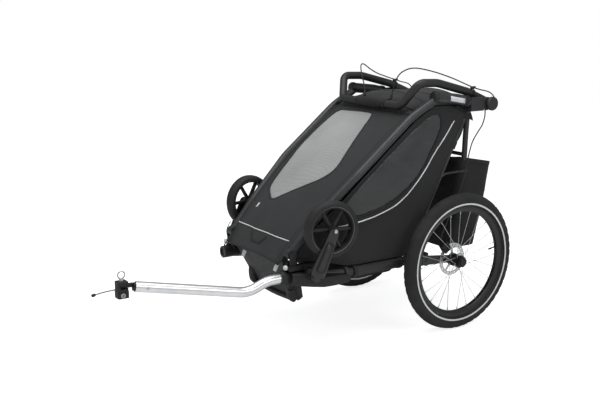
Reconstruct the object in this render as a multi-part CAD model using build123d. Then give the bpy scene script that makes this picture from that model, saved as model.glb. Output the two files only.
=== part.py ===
from build123d import *
from math import cos, pi, radians, sin
import os

# Child bicycle trailer with one cabin, two spoked wheels, stowed stroller wheels and a tow arm.
# Millimetres, +Z up, +Y towards the rear, -Y towards the bicycle, +X is the trailer's left side.
# Inside this file Y = 0 is the wheel axle. write() moves everything so that the origin is on the
# ground in the middle of the trailer's length and width.

os.makedirs("parts", exist_ok=True)

# ---- driving dimensions -------------------------------------------------------------------
WHEEL_R = 250.0          # 20 inch wheel, 47-406 tyre
TYRE_W = 47.0
WHEEL_X = 298.0          # mid-plane of a wheel; the track is twice this
AXLE_Z = WHEEL_R
RAIL_X = 235.0           # side rails of the lower frame
RAIL_Z = 268.0
RAIL_R = 16.0
BEAM_Y, BEAM_Z = -120.0, 262.0      # cross beam that carries the suspension arms
FOLD_Y, FOLD_Z = -655.0, 352.0      # front pivot that the upper frame folds about
KNUCKLE_Y, KNUCKLE_Z = 92.0, 800.0  # pivot between the upper frame and the rear struts
HUB_Y, HUB_Z = 166.0, 806.0         # pivot of the push handlebar
GRIP_Y, GRIP_Z = -182.0, 809.0      # middle of the handlebar, where the twist grip is
STRUT_X = 222.0
STRUT_FOOT_Y, STRUT_FOOT_Z = -155.0, 335.0
STOW_X, STOW_Y, STOW_Z = 218.0, -600.0, 287.0  # pivot of a stroller wheel arm
STOW_YAW = 8.0           # the stroller wheels stand slightly toed, in degrees
CASTER_R = 96.0
CASTER_Y, CASTER_Z = 62.0, 150.0     # stroller wheel centre, seen from its arm's pivot
TOW_X, TOW_Z = 195.0, 277.0          # tail of the tow arm inside its receiver
TOW_R = 17.0
TOW_END = (137.0, -1178.0, 319.0)
HEAD_X, HEAD_Y, HEAD_Z = 129.0, -1217.0, 324.0  # centre of the hitch head
HEAD_HALF = 17.0
BAG_REAR = 264.0
WALL = 2.0               # wall of the aluminium tubes
CABLE_R = 2.2
RUN = 0.05               # radial clearance of a running fit
GAP = 0.5                # clearance between bodies that only pass each other

HITCH_FRONT = HEAD_Y - HEAD_HALF - 1.0
ORIGIN_Y = (BAG_REAR + HITCH_FRONT) / 2


# ---- helpers ------------------------------------------------------------------------------
def write(node, *shapes):
    """Write one sub-part, moved from axle coordinates to the trailer's own frame."""
    solids = [solid for shape in shapes for solid in shape.solids()]
    for solid in solids:
        solid.label = node
    moved = Compound(children=[solid.moved(Location((0, -ORIGIN_Y, 0))) for solid in solids])
    moved.label = node
    export_step(moved, f"parts/{node}.step")


def flip(shape):
    """The same shape on the right side of the trailer."""
    return mirror(shape, about=Plane.YZ)


def box(x, y, z):
    """A box from three (low, high) pairs."""
    size = [high - low for low, high in (x, y, z)]
    middle = [(high + low) / 2 for low, high in (x, y, z)]
    return Pos(*middle) * Box(*size)


def disc(x, y, z, radius):
    """A cylinder along X from x[0] to x[1]."""
    return Pos((x[0] + x[1]) / 2, y, z) * Rot(0, 90, 0) * Cylinder(radius, x[1] - x[0])


def tube(points, radius, bends=None, wall=None):
    """A round bar or hollow tube along straight runs joined by tangent arcs."""
    if bends is None:
        path = Polyline(*points)
    else:
        path = FilletPolyline(*points, radius=bends)
    place = Plane(origin=path @ 0, z_dir=path % 0)
    bar = sweep(place * Circle(radius), path=path)
    if wall is None:
        return bar
    return bar - sweep(place * Circle(radius - wall), path=path)


def side_plate(outline, x):
    """An outline in the YZ plane, given thickness along X."""
    face = Plane.YZ.offset(x[0]) * Polygon(*outline, align=None)
    return extrude(face, amount=x[1] - x[0], dir=(1, 0, 0))


def plan_plate(outline, z):
    """An outline in the XY plane, given thickness along Z."""
    face = Plane.XY.offset(z[0]) * Polygon(*outline, align=None)
    return extrude(face, amount=z[1] - z[0], dir=(0, 0, 1))


def band(line, depth):
    """A closed outline: the line, and the same line moved by depth = (dy, dz)."""
    return list(line) + [(y + depth[0], z + depth[1]) for y, z in reversed(line)]


def mirrored(outline):
    """Close an outline given for X > 0 with its own mirror image."""
    return list(outline) + [(-x, y) for x, y in reversed(outline)]


def ring(x, outer, inner, y=0.0, z=AXLE_Z):
    return disc(x, y, z, outer) - disc((x[0] - 1, x[1] + 1), y, z, inner)


def pair(name, left):
    """Write a left node and its mirror image as the right node."""
    write(f"{name}_left", left)
    write(f"{name}_right", flip(left))


# ---- lower frame --------------------------------------------------------------------------
def side_rail():
    line = [(TOW_X + 10, -558, RAIL_Z + 4), (RAIL_X, -455, RAIL_Z), (RAIL_X, BEAM_Y - 15, RAIL_Z)]
    rail = tube(line, RAIL_R, 90, WALL) - box((150, 260), (-650, -558), (200, 340))
    sleeve = Pos(RAIL_X, -330, RAIL_Z) * Rot(90, 0, 0) * Cylinder(RAIL_R + 3, 200)
    return rail + (sleeve - Pos(RAIL_X, -330, RAIL_Z) * Rot(90, 0, 0) * Cylinder(RAIL_R - WALL, 200))


def front_cross_tube():
    bar = disc((-TOW_X + 25, TOW_X - 25), -575, RAIL_Z - 8, 12)
    return bar


def tow_receiver():
    """Socket that takes the tail of the tow arm; its bore runs along Y."""
    body = Pos(TOW_X, -628, TOW_Z) * Rot(90, 0, 0) * Cylinder(22, 140)
    collar = Pos(TOW_X, -688, TOW_Z) * Rot(90, 0, 0) * Cylinder(24.5, 20)
    bore = Pos(TOW_X, -634, TOW_Z) * Rot(90, 0, 0) * Cylinder(TOW_R + RUN, 136)
    tab = box((TOW_X - 9, TOW_X + 9), (-670, -640), (TOW_Z - 34, TOW_Z - 19))
    pin_hole = Pos(TOW_X, -655, TOW_Z - 30) * Cylinder(4 + RUN, 40)
    return body + collar + tab - bore - pin_hole


def blank_receiver():
    """The right side has the same socket, closed by an end cap."""
    body = Pos(-TOW_X, -628, TOW_Z) * Rot(90, 0, 0) * Cylinder(22, 140)
    return body - Pos(-TOW_X, -700, TOW_Z) * Rot(90, 0, 0) * Cylinder(14, 12)


def tow_lock():
    """Pull pin under the receiver, with a round grip."""
    pin = Pos(TOW_X, -655, TOW_Z - 32) * Cylinder(4, 28)
    grip = Pos(TOW_X, -655, TOW_Z - 50) * Cylinder(9, 8)
    return pin + grip


def axle_beam():
    beam = disc((-251.5, 251.5), BEAM_Y, BEAM_Z, 14)
    pins = disc((-262, 262), BEAM_Y, BEAM_Z, 8)
    lugs = [
        box((side * RAIL_X - RAIL_R, side * RAIL_X + RAIL_R), (BEAM_Y - 15, BEAM_Y + 16), (242, 286))
        for side in (-1, 1)
    ]
    return beam + pins + lugs[0] + lugs[1]


def floor_tub():
    """Floor with low side walls and a deeper foot well in the middle."""
    half = 196
    outer = plan_plate(mirrored([(half, -150), (half, -430), (150, -562)]), (232, 300))
    inner = plan_plate(mirrored([(half - 5, -145), (half - 5, -428), (146, -557)]), (237, 301))
    well = box((-150, 150), (-380, -170), (204, 232))
    hollow = box((-145, 145), (-375, -175), (209, 240))
    return outer - inner + well - hollow


def nose_shell():
    """Front panel that leans back under the cabin, with two cheeks and a thick lower lip."""
    top, bottom = (186, -667, 329), (139, -593, 168)
    front = Face(Wire.make_polygon([top, bottom, (-139, -593, 168), (-186, -667, 329)]))
    panel = extrude(front, amount=6, dir=(0, 1, 0))
    back = Vector(4, 46, 12)
    edge = [Vector(*top), Vector(*bottom), Vector(*bottom) + back, Vector(*top) + back * 0.6]
    cheek = extrude(Face(Wire.make_polygon(edge)), amount=5, dir=(-1, 0, 0))
    lip = extrude(
        Face(Wire.make_polygon([bottom, (139, -600, 184), (139, -556, 196), (139, -550, 180)])),
        amount=278,
        dir=(-1, 0, 0),
    )
    return panel + cheek + flip(cheek) + lip


def nose_reflectors():
    """Two trapezoid reflectors on the nose and a round one at each front corner."""
    face = Plane(origin=(108, -649.2, 290), x_dir=(1, 0, 0), z_dir=(0, -161, -74))
    outline = [(-9, -17), (9, -17), (12, 17), (-12, 17)]
    trapezoid = extrude(face * Polygon(*outline, align=None), amount=3)
    knob = Pos(203, -681, 312) * Rot(90, 0, 0) * Cylinder(8, 10)
    return [trapezoid, flip(trapezoid), knob, flip(knob)]


def stow_frame(side):
    """Place of a stroller wheel arm; its own x points outwards along the pivot."""
    return Location((side * STOW_X, STOW_Y, STOW_Z), (0, 0, -side * STOW_YAW))


def wheel_arm_socket():
    """Bracket on the front corner that the stroller wheel arm turns in."""
    place = stow_frame(1)
    boss = place * disc((6, 44), 0, 0, 21)
    bore = place * disc((20, 46), 0, 0, 8 + RUN)
    root = box((192, 222), (-676, -555), (302, 316))
    web = place * box((-8, 18), (-22, 30), (17, 29))
    lug = box((208, 214), (-668, -646), (310, FOLD_Z + 9)) + disc((180, 214), FOLD_Y, FOLD_Z, 6)
    return boss + root + web + lug - bore


# ---- stroller wheels ----------------------------------------------------------------------
def wheel_arm():
    """One-sided arm from the socket to the stroller wheel's axle."""
    place = stow_frame(1)
    journal = disc((22, 46), 0, 0, 8)
    boss = disc((44 + GAP, 76), 0, 0, 20)
    outline = [(-17, -8), (18, -6), (CASTER_Y + 14, CASTER_Z + 2), (CASTER_Y - 14, CASTER_Z + 6)]
    blade = side_plate(outline, (64, 76))
    knob = disc((64, 78), CASTER_Y, CASTER_Z, 16)
    axle = disc((22, 64), CASTER_Y, CASTER_Z, 5)
    return place * (journal + boss + blade + knob + axle)


def caster_tyre():
    section = Pos(CASTER_R - 9, 0) * RectangleRounded(18, 42, 8)
    loop = revolve(section, Axis.Y)
    return stow_frame(1) * (Pos(41, CASTER_Y, CASTER_Z) * Rot(0, 0, 90) * loop)


def caster_rim():
    """Six broad spokes between a hub and a hoop."""
    hoop = ring((28, 54), CASTER_R - 18.3, CASTER_R - 26, CASTER_Y, CASTER_Z)
    hub = disc((22, 62), CASTER_Y, CASTER_Z, 14)
    spoke = box((33, 47), (-6, 6), (10, CASTER_R - 24))
    wheel = hoop + hub
    for count in range(6):
        turned = Rot(count * 60, 0, 0) * spoke
        wheel += Pos(0, CASTER_Y, CASTER_Z) * turned
    return stow_frame(1) * (wheel - disc((20, 66), CASTER_Y, CASTER_Z, 5 + RUN))


# ---- road wheels and suspension -----------------------------------------------------------
def tyre():
    """Hollow tyre, open towards the rim."""
    middle = WHEEL_R - TYRE_W / 2
    section = Pos(middle, 0) * (Circle(TYRE_W / 2) - Circle(TYRE_W / 2 - 4))
    section -= Pos(middle - TYRE_W / 2, 0) * Rectangle(16, 22)
    return Pos(WHEEL_X, 0, AXLE_Z) * Rot(0, 0, 90) * revolve(section, Axis.Y)


def rim():
    channel = ring((WHEEL_X - 12, WHEEL_X + 12), 204, 183)
    well = ring((WHEEL_X - 9, WHEEL_X + 9), 206, 187)
    return channel - well


SPOKES = 24


def spokes():
    """Laced spokes: each flange sends half of its spokes forwards and half backwards."""
    bars = []
    for count in range(SPOKES):
        flange_x = 275.5 if count % 2 else 304.5
        lean = 1 if (count // 2) % 2 else -1
        rim_angle = 2 * pi * count / SPOKES
        hub_angle = rim_angle + lean * radians(42)
        start = Vector(flange_x + lean * 2.2, 24 * cos(hub_angle), 24 * sin(hub_angle) + AXLE_Z)
        end = Vector(WHEEL_X, 182.6 * cos(rim_angle), 182.6 * sin(rim_angle) + AXLE_Z)
        axis = Plane(origin=start, z_dir=end - start)
        bars.append(extrude(axis * Circle(0.9), amount=(end - start).length))
    return bars


def hub():
    shell = disc((263.5, 312), 0, AXLE_Z, 17) + ring((311, 320), 18, 15 + RUN)
    flanges = disc((274.5, 276.5), 0, AXLE_Z, 28) + disc((303.5, 305.5), 0, AXLE_Z, 28)
    grooves = ring((269, 281), 30, 23.2)
    outer_grooves = ring((298, 311), 30, 23.2)
    return shell + flanges - grooves - outer_grooves - disc((262, 314), 0, AXLE_Z, 6 + RUN)


def rotor():
    """Perforated brake disc on a five-armed spider."""
    x = (261.5, 263.5)
    plate = ring(x, 60, 46)
    for count in range(20):
        angle = 2 * pi * count / 20
        plate -= disc((260, 265), 53 * cos(angle), AXLE_Z + 53 * sin(angle), 2.6)
    centre = ring(x, 24, 9)
    for count in range(5):
        arm = Rot(count * 72, 0, 0) * box(x, (-4, 4), (20, 48))
        centre += Pos(0, 0, AXLE_Z) * arm
    return plate + centre


def hub_button():
    """Domed release button on the wheel's axle."""
    button = disc((312 + 3 + GAP, 326), 0, AXLE_Z, 15)
    return fillet(button.edges().sort_by(Axis.X)[-1], 4)


def swing_arm():
    """Suspension arm from the cross beam to the axle, with the axle stub."""
    x = (252.5, 260.5)
    outline = [(BEAM_Y, BEAM_Z + 17), (0, AXLE_Z + 13), (0, AXLE_Z - 13), (BEAM_Y, BEAM_Z - 17)]
    arm = side_plate(outline, x) + disc(x, BEAM_Y, BEAM_Z, 20) + disc(x, 0, AXLE_Z, 16)
    arm += disc((252.5, 311), 0, AXLE_Z, 6)
    return arm - disc((250, 262), BEAM_Y, BEAM_Z, 8 + RUN)


def caliper():
    """Brake caliper that straddles the rotor."""
    body = box((252.6, 271), (-16, 16), (42, 78))
    slot = box((260.7, 264.3), (-20, 20), (30, 62))
    lug = box((252.6, 258), (10, 24), (30, 46))
    turned = Rot(35, 0, 0) * (body + lug - slot)
    return Pos(0, 0, AXLE_Z) * turned


# ---- upper frame --------------------------------------------------------------------------
PILLAR = [(190, -660, 348), (203, -560, 458), (230, -405, 600), (232, -180, 778), (236, -75, 834)]
WINDOW = [
    (-168, -194), (32, -194), (44, -212), (112, -413), (82, -456), (-84, -560),
    (-165, -518), (-200, -345), (-186, -215),
]
COVER_LINE = [(-671, 338), (-640, 380), (-560, 462), (-405, 600), (-290, 694), (-178, 776)]


def pillar():
    """Front post of the upper frame, from the fold pivot to the top tube."""
    post = tube(PILLAR, 14, [160, 200, 260], WALL)
    foot = disc((176, 205), FOLD_Y, FOLD_Z, 17)
    return post + foot - disc((170, 210), FOLD_Y, FOLD_Z, 6 + 2 * RUN)


def top_tube():
    line = [(238, -86, 840), (238, 20, 828), (238, 72, 816)]
    return tube(line, 19, 300, WALL) - box((200, 260), (72, 100), (780, 860))


def knuckle():
    """Casting that joins the top tube, the rear strut and the handlebar pivot."""
    block = box((233.5, 257), (72, 134), (782, 830))
    plate = side_plate([(110, 826), (HUB_Y, 825), (HUB_Y, 787), (110, 784)], (245.5, 256))
    plate += disc((245.5, 256), HUB_Y, HUB_Z, 19)
    handlebar_pin = disc((204, 245.6), HUB_Y, HUB_Z, 6)
    strut_pin = disc((209, 234), KNUCKLE_Y, KNUCKLE_Z, 5)
    return block + plate + handlebar_pin + strut_pin


def roof_bows():
    """Cross tubes of the upper frame: behind the front cover and at the knuckles."""
    front = disc((-218, 218), -172, 762, 8)
    rear = disc((-233.5, 233.5), 124, 793, 7)
    return [front, rear]


def front_cover():
    """Fabric front, stretched between the pillars, with the opening for the mesh window."""
    sheet = side_plate(band(COVER_LINE, (2.2, -2.6)), (-230, 230))
    plan = plan_plate(mirrored([(213, -170), (213, -405), (186, -545), (170, -680)]), (300, 800))
    return (sheet & plan) - plan_plate(WINDOW, (300, 800))


def mesh_window():
    sheet = side_plate(band(COVER_LINE, (2.2, -2.6)), (-230, 230))
    inset = [(x * 0.995, -370 + (y + 370) * 0.995) for x, y in WINDOW]
    return sheet & plan_plate(inset, (300, 800))


def roof_canopy():
    """Crowned roof from the front bow to the knuckles."""
    half, rise = 196, 50
    outer = ThreePointArc((-half, 0), (0, rise), (half, 0))
    inner = ThreePointArc((half - 3, -3), (0, rise - 4), (-half + 3, -3))
    sides = [Line(outer @ 1, inner @ 0), Line(inner @ 1, outer @ 0)]
    face = make_face([outer, inner] + sides)
    slope = Plane(origin=(0, -150, 796), x_dir=(-1, 0, 0), z_dir=(0, 1, 0.02))
    return extrude(slope * face, amount=262)


# ---- rear struts --------------------------------------------------------------------------
def rear_strut():
    """Long strut from the knuckle to the side rail, with the upright that carries the bag."""
    x = STRUT_X
    strut = tube([(x, KNUCKLE_Y, KNUCKLE_Z), (x, STRUT_FOOT_Y, STRUT_FOOT_Z)], 10.5)
    eye = disc((x - 11, x + 11), KNUCKLE_Y, KNUCKLE_Z, 16)
    foot = disc((x - 11, x + 11), STRUT_FOOT_Y, STRUT_FOOT_Z, 14)
    upright = tube([(x, KNUCKLE_Y - 3, KNUCKLE_Z - 5), (x, 83, 700), (x, 80, 604)], 10, 300)
    rack = tube([(x, -32, 552), (x - 19, 12, 556), (x - 19, 112, 558)], 4, 16)
    solid = strut + eye + foot + upright + rack
    return solid - disc((200, 240), KNUCKLE_Y, KNUCKLE_Z, 5 + RUN)


def strut_brace():
    """Cross bar between the two uprights."""
    return disc((-212.2, 212.2), 81, 622, 7)


# ---- handlebar ----------------------------------------------------------------------------
BAR_HALF = [
    (218, HUB_Y + 2, HUB_Z + 10), (218, 84, 850), (219, -60, 887), (219, -142, 890), (170, GRIP_Y, GRIP_Z),
]
BAR_BENDS = [90, 120, 34, 32]
BAR_R = 14.5


def handlebar():
    right = [(-x, y, z) for x, y, z in reversed(BAR_HALF)]
    bends = BAR_BENDS + BAR_BENDS[::-1]
    bar = tube(BAR_HALF + right, BAR_R, bends)
    hubs = disc((198, 245.5 - GAP), HUB_Y, HUB_Z, 22)
    bores = disc((190, 246), HUB_Y, HUB_Z, 6 + RUN)
    hollow = tube(BAR_HALF + right, BAR_R - WALL - 1.5, bends)
    grip_seat = ring((-62, 62), 30, BAR_R - 1.5, GRIP_Y, GRIP_Z)
    return hubs + flip(hubs) + bar - hollow - bores - flip(bores) - grip_seat


def brake_grip():
    """Twist grip in the middle of the bar."""
    return ring((-61, 61), 18, BAR_R - 1.5 + RUN, GRIP_Y, GRIP_Z)


def hub_disc():
    """Large round release button at each end of the handlebar pivot."""
    return disc((256 + 4 + GAP, 273), HUB_Y, HUB_Z, 25)


CABLE_LEFT = [
    (84, -156, 829.5), (86, -151, 851), (92, -147, 875), (100, -145, 896), (112, -138, 917),
    (130, -120, 932), (146, -102, 936), (160, -74, 932), (179, -26, 919), (197, 30, 899),
    (211, 76, 879), (219, 112, 864), (222, 138, 857), (224, 153, 848), (226, 161, 836),
]
CABLE_RIGHT = [
    (-68, -156, 829.5), (-72, -154, 850), (-80, -153, 872), (-91, -152, 894), (-103, -148, 914),
    (-116, -140, 931), (-129, -124, 938), (-145, -98, 933), (-164, -58, 915), (-184, -8, 896),
    (-204, 44, 882), (-216, 88, 870), (-221, 116, 863), (-223, 138, 857), (-224, 153, 848),
    (-226, 161, 836),
]
CABLE_LOWER = [
    (229, 168, 783.3), (231, 167, 758), (234, 152, 726), (236, 128, 700), (237, 104, 668),
    (237, 90, 628), (237, 80, 584), (238, 62, 528), (239, 38, 474), (241, 10, 424),
    (244, -16, 382), (250, -38, 350), (259, -55, 331),
]


def corner_radii(route):
    """Arc radius at each corner of a cord: 0.45 of the shorter run over tan of half the turn."""
    points = [Vector(*point) for point in route]
    radii = []
    for before, here, after in zip(points, points[1:], points[2:]):
        turn = radians((here - before).get_angle(after - here))
        shorter = min((here - before).length, (after - here).length)
        radii.append(0.45 * shorter / (sin(turn / 2) / cos(turn / 2)))
    return radii


def cord(name, route, radius):
    """A cord's tube; prints its radii and compares its volume with section times length."""
    radii = corner_radii(route)
    body = tube(route, radius, radii)
    length = FilletPolyline(*route, radius=radii).length
    share = body.volume / (pi * radius**2 * length)
    print(name, "length", round(length, 1), "volume share", round(share, 4))
    print("  radii", [round(value, 1) for value in radii])
    return body


def cable_clips():
    """Small clips that hold the brake cables to the bar and to its arms."""
    left = [
        box((75, 93), (-176, -151.5), (812, 832)),
        box((213, 227), (104, 122), (850, 868)),
    ]
    bar = handlebar()
    holes = [tube(route, CABLE_R + RUN, corner_radii(route)) for route in (CABLE_LEFT, CABLE_RIGHT)]
    trimmed = [clip - bar - holes[0] for clip in left]
    return trimmed + [flip(clip) - bar - holes[1] for clip in left]


# ---- tow arm and hitch --------------------------------------------------------------------
TOW_LINE = [(TOW_X, -572, TOW_Z), (TOW_X, -746, TOW_Z), (TOW_X - 3, -816, 249), TOW_END]


def tow_tube():
    bar = tube(TOW_LINE, TOW_R, [110, 110], WALL)
    direction = Vector(*TOW_END) - Vector(*TOW_LINE[2])
    button_place = Vector(*TOW_END) - direction.normalized() * 34
    hole = disc((button_place.X, button_place.X + 30), button_place.Y, button_place.Z, 4.5)
    return bar - hole


def tow_plug():
    """Plug in the end of the tow tube, with the tongue that the hitch head turns on."""
    axis = Plane(origin=TOW_END, z_dir=Vector(*TOW_END) - Vector(*TOW_LINE[2]))
    plug = axis * (Pos(0, 0, -12) * Cylinder(TOW_R - 2.05, 24))
    collar = axis * (Pos(0, 0, 3) * Cylinder(13, 6))
    tongue = box((HEAD_X - 8, HEAD_X + 8), (HEAD_Y, -1180), (HEAD_Z - 5, HEAD_Z + 5))
    tongue += Pos(HEAD_X, HEAD_Y, HEAD_Z) * Cylinder(9, 10)
    return plug + collar + tongue - Pos(HEAD_X, HEAD_Y, HEAD_Z) * Cylinder(4 + RUN, 60)


def tow_button():
    """Snap button that stands in the side hole of the tow tube."""
    direction = Vector(*TOW_END) - Vector(*TOW_LINE[2])
    place = Vector(*TOW_END) - direction.normalized() * 34
    return disc((place.X + 8.5, place.X + 17.5), place.Y, place.Z, 4)


def hitch_head():
    """Block with a slot for the tongue; it turns about the vertical pin."""
    body = Pos(HEAD_X, HEAD_Y, HEAD_Z + 1) * Box(2 * HEAD_HALF, 2 * HEAD_HALF, 30)
    body = fillet(body.edges().filter_by(Axis.Z), 6)
    slot = Pos(HEAD_X, HEAD_Y + 8, HEAD_Z) * Box(2 * HEAD_HALF + 2, 36, 10 + 2 * GAP)
    slot += Pos(HEAD_X, HEAD_Y, HEAD_Z) * Cylinder(10, 10 + 2 * GAP)
    return body - slot - Pos(HEAD_X, HEAD_Y, HEAD_Z) * Cylinder(4 + RUN, 80)


def hitch_cup():
    """Lower half of the hitch, which bolts to the bicycle's axle."""
    body = Pos(HEAD_X, HEAD_Y, HEAD_Z - 24) * Box(2 * HEAD_HALF + 2, 2 * HEAD_HALF + 2, 20)
    body = fillet(body.edges().filter_by(Axis.Z), 7)
    return body - disc((HEAD_X - 40, HEAD_X + 40), HEAD_Y - 3, HEAD_Z - 24, 7)


def axle_bushing():
    """Steel bushing with the bore for the bicycle's axle."""
    x = (HEAD_X - HEAD_HALF - 2, HEAD_X + HEAD_HALF + 2)
    return ring(x, 7, 5.05, HEAD_Y - 3, HEAD_Z - 24)


def ring_pin():
    """Hitch pin with a pull ring."""
    pin = Pos(HEAD_X, HEAD_Y, HEAD_Z + 5) * Cylinder(4, 36)
    head = Pos(HEAD_X, HEAD_Y, HEAD_Z + 20) * Cylinder(7, 7.8)
    pull = Pos(HEAD_X, HEAD_Y, HEAD_Z + 36) * Rot(0, 90, 0) * Torus(11, 2.2)
    return pin + head + pull


LEASH = [
    (HEAD_X - 4, HITCH_FRONT, 316), (HEAD_X - 4, -1257, 315.5), (HEAD_X - 5, -1278, 314),
    (HEAD_X - 6, -1297, 311),
]
LEASH_R = 2.2


def leash_bead():
    axis = Plane(origin=LEASH[-1], z_dir=Vector(*LEASH[-1]) - Vector(*LEASH[-2]))
    return extrude(axis * Circle(5), amount=13)


# ---- cabin --------------------------------------------------------------------------------
WALL_LINE = [(240, -40), (240, -430), (196, -640), (176, -655)]
SIDE_OUTLINE = [
    (-634, 368), (-556, 440), (-402, 578), (-185, 750), (-60, 806), (20, 792), (-30, 690),
    (-105, 560), (-150, 450), (-150, 292), (-455, 292), (-540, 320), (-634, 326),
]


def side_panel():
    """Fabric side of the cabin, bent inwards towards the nose."""
    inner = [(x - 6, y) for x, y in WALL_LINE]
    bend = plan_plate(WALL_LINE + inner[::-1], (250, 850))
    outline = side_plate(SIDE_OUTLINE, (100, 260))
    clear = tube(PILLAR, 15, [160, 200, 260]) + disc((170, 215), FOLD_Y, FOLD_Z, 18)
    rail = tube([(RAIL_X, -460, RAIL_Z), (RAIL_X, -100, RAIL_Z)], RAIL_R + 5)
    return (bend & outline) - clear - rail - disc((200, 240), STRUT_FOOT_Y, STRUT_FOOT_Z, 15)


def seat_cushion():
    base = box((-182, 182), (-420, -165), (300, 335))
    return fillet(base.edges().filter_by(Axis.Z), 30)


def seat_back():
    line = [(-172, 352), (-134, 420), (30, 712)]
    return side_plate(band(line, (-30, 16)), (-178, 178))


def rear_panel():
    line = [(-136, 352), (-104, 420), (64, 736)]
    return side_plate(band(line, (-3.4, 2)), (-200, 200))


def harness():
    """Two shoulder straps and a crotch strap that meet at a buckle."""
    strap_line = [(-70, 612), (-190, 398), (-238, 374)]
    strap = side_plate(band(strap_line, (-2.0, 1.2)), (28, 58))
    crotch = side_plate([(-262, 336), (-259, 336), (-240, 362), (-243, 364)], (-14, 14))
    return [strap, flip(strap), crotch]


def buckle():
    return Pos(0, -246, 374) * Rot(28, 0, 0) * Box(116, 14, 22)


def rear_bag():
    """Open luggage bag behind the cabin."""
    def section(half, front, rear, z_front, z_rear):
        corners = [(half, front, z_front), (-half, front, z_front), (-half, rear, z_rear), (half, rear, z_rear)]
        return Wire.make_polygon(corners, close=True)

    outer = Solid.make_loft([section(140, 96, 236, 246, 246), section(188, 88, BAG_REAR, 600, 566)], True)
    inner = Solid.make_loft([section(135, 101, 231, 251, 251), section(183.5, 93, BAG_REAR - 5, 606, 572)], True)
    return outer - inner


def brake_pedal():
    """Foot pedal of the parking brake, which turns on the cross beam."""
    sleeve = ring((60, 110), 20, 14 + 0.1, BEAM_Y, BEAM_Z)
    lever = box((64, 106), (BEAM_Y + 17, BEAM_Y + 66), (BEAM_Z - 4, BEAM_Z + 4))
    return sleeve + lever


# ---- write every node ---------------------------------------------------------------------
write("side_rails", side_rail(), flip(side_rail()))
write("front_cross_tube", front_cross_tube(), blank_receiver())
write("tow_receiver", tow_receiver())
write("tow_lock_pin", tow_lock())
write("axle_beam", axle_beam())
write("floor_tub", floor_tub())
write("nose_shell", nose_shell())
write("nose_reflectors", *nose_reflectors())
write("wheel_arm_sockets", wheel_arm_socket(), flip(wheel_arm_socket()))
write("seat_cushion", seat_cushion())
write("seat_back", seat_back())
write("rear_panel", rear_panel())
write("harness", *harness(), buckle())
write("rear_bag", rear_bag())
write("brake_pedal", brake_pedal())
write("upper_tubes", pillar(), flip(pillar()), top_tube(), flip(top_tube()), *roof_bows())
write("knuckles", knuckle(), flip(knuckle()))
write("front_cover", front_cover())
write("mesh_window", mesh_window())
write("roof_canopy", roof_canopy())
write("rear_struts", rear_strut(), flip(rear_strut()), strut_brace())
write("handlebar", handlebar())
write("brake_grip", brake_grip())
write("cable_clips", *cable_clips())
write("tow_tube", tow_tube())
write("tow_plug", tow_plug())
write("tow_button", tow_button())
write("hitch_head", hitch_head())
write("hitch_cup", hitch_cup())
write("axle_bushing", axle_bushing())
write("ring_pin", ring_pin())
write("hitch_leash", cord("hitch_leash", LEASH, LEASH_R))
write("leash_bead", leash_bead())
write("brake_cable_left", cord("brake_cable_left", CABLE_LEFT, CABLE_R))
write("brake_cable_right", cord("brake_cable_right", CABLE_RIGHT, CABLE_R))
lower_cable = cord("lower_brake_cable", CABLE_LOWER, CABLE_R)
write("lower_brake_cables", lower_cable, flip(lower_cable))
pair("side_panel", side_panel())
pair("tyre", tyre())
pair("rim", rim())
for side, turn in (("left", lambda shape: shape), ("right", flip)):
    write(f"spokes_{side}", *[turn(bar) for bar in spokes()])
pair("hub", hub())
pair("rotor", rotor())
pair("hub_button", hub_button())
pair("swing_arm", swing_arm())
pair("caliper", caliper())
pair("wheel_arm", wheel_arm())
write("stroller_wheel_left", caster_tyre(), caster_rim())
write("stroller_wheel_right", flip(caster_tyre()), flip(caster_rim()))
pair("hub_disc", hub_disc())
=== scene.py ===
import math

import bmesh
import bpy
from mathutils import Matrix, Vector, geometry, noise


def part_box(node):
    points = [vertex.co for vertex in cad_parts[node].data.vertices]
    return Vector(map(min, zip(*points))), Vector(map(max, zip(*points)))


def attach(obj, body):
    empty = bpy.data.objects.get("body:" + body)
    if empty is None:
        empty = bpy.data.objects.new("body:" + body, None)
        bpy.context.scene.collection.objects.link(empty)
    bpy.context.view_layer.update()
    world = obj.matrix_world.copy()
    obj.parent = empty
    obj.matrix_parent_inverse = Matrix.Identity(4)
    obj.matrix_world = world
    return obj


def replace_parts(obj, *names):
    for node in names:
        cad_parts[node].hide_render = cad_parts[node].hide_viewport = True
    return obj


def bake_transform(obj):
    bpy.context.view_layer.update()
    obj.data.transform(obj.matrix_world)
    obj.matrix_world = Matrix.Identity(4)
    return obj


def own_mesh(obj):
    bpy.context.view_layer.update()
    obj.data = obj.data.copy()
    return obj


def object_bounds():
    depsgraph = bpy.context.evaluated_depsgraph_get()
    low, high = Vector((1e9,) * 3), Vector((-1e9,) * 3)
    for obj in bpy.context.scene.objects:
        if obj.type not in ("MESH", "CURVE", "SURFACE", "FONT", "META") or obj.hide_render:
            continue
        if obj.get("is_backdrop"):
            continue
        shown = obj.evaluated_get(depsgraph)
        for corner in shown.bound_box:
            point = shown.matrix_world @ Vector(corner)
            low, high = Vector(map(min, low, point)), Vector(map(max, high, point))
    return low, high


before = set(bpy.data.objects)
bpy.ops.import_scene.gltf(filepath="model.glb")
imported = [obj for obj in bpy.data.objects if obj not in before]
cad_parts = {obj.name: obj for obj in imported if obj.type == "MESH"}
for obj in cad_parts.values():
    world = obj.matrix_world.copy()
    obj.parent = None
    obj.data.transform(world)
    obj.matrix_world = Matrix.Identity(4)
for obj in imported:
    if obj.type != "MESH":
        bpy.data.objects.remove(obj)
cad_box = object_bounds()

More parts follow.
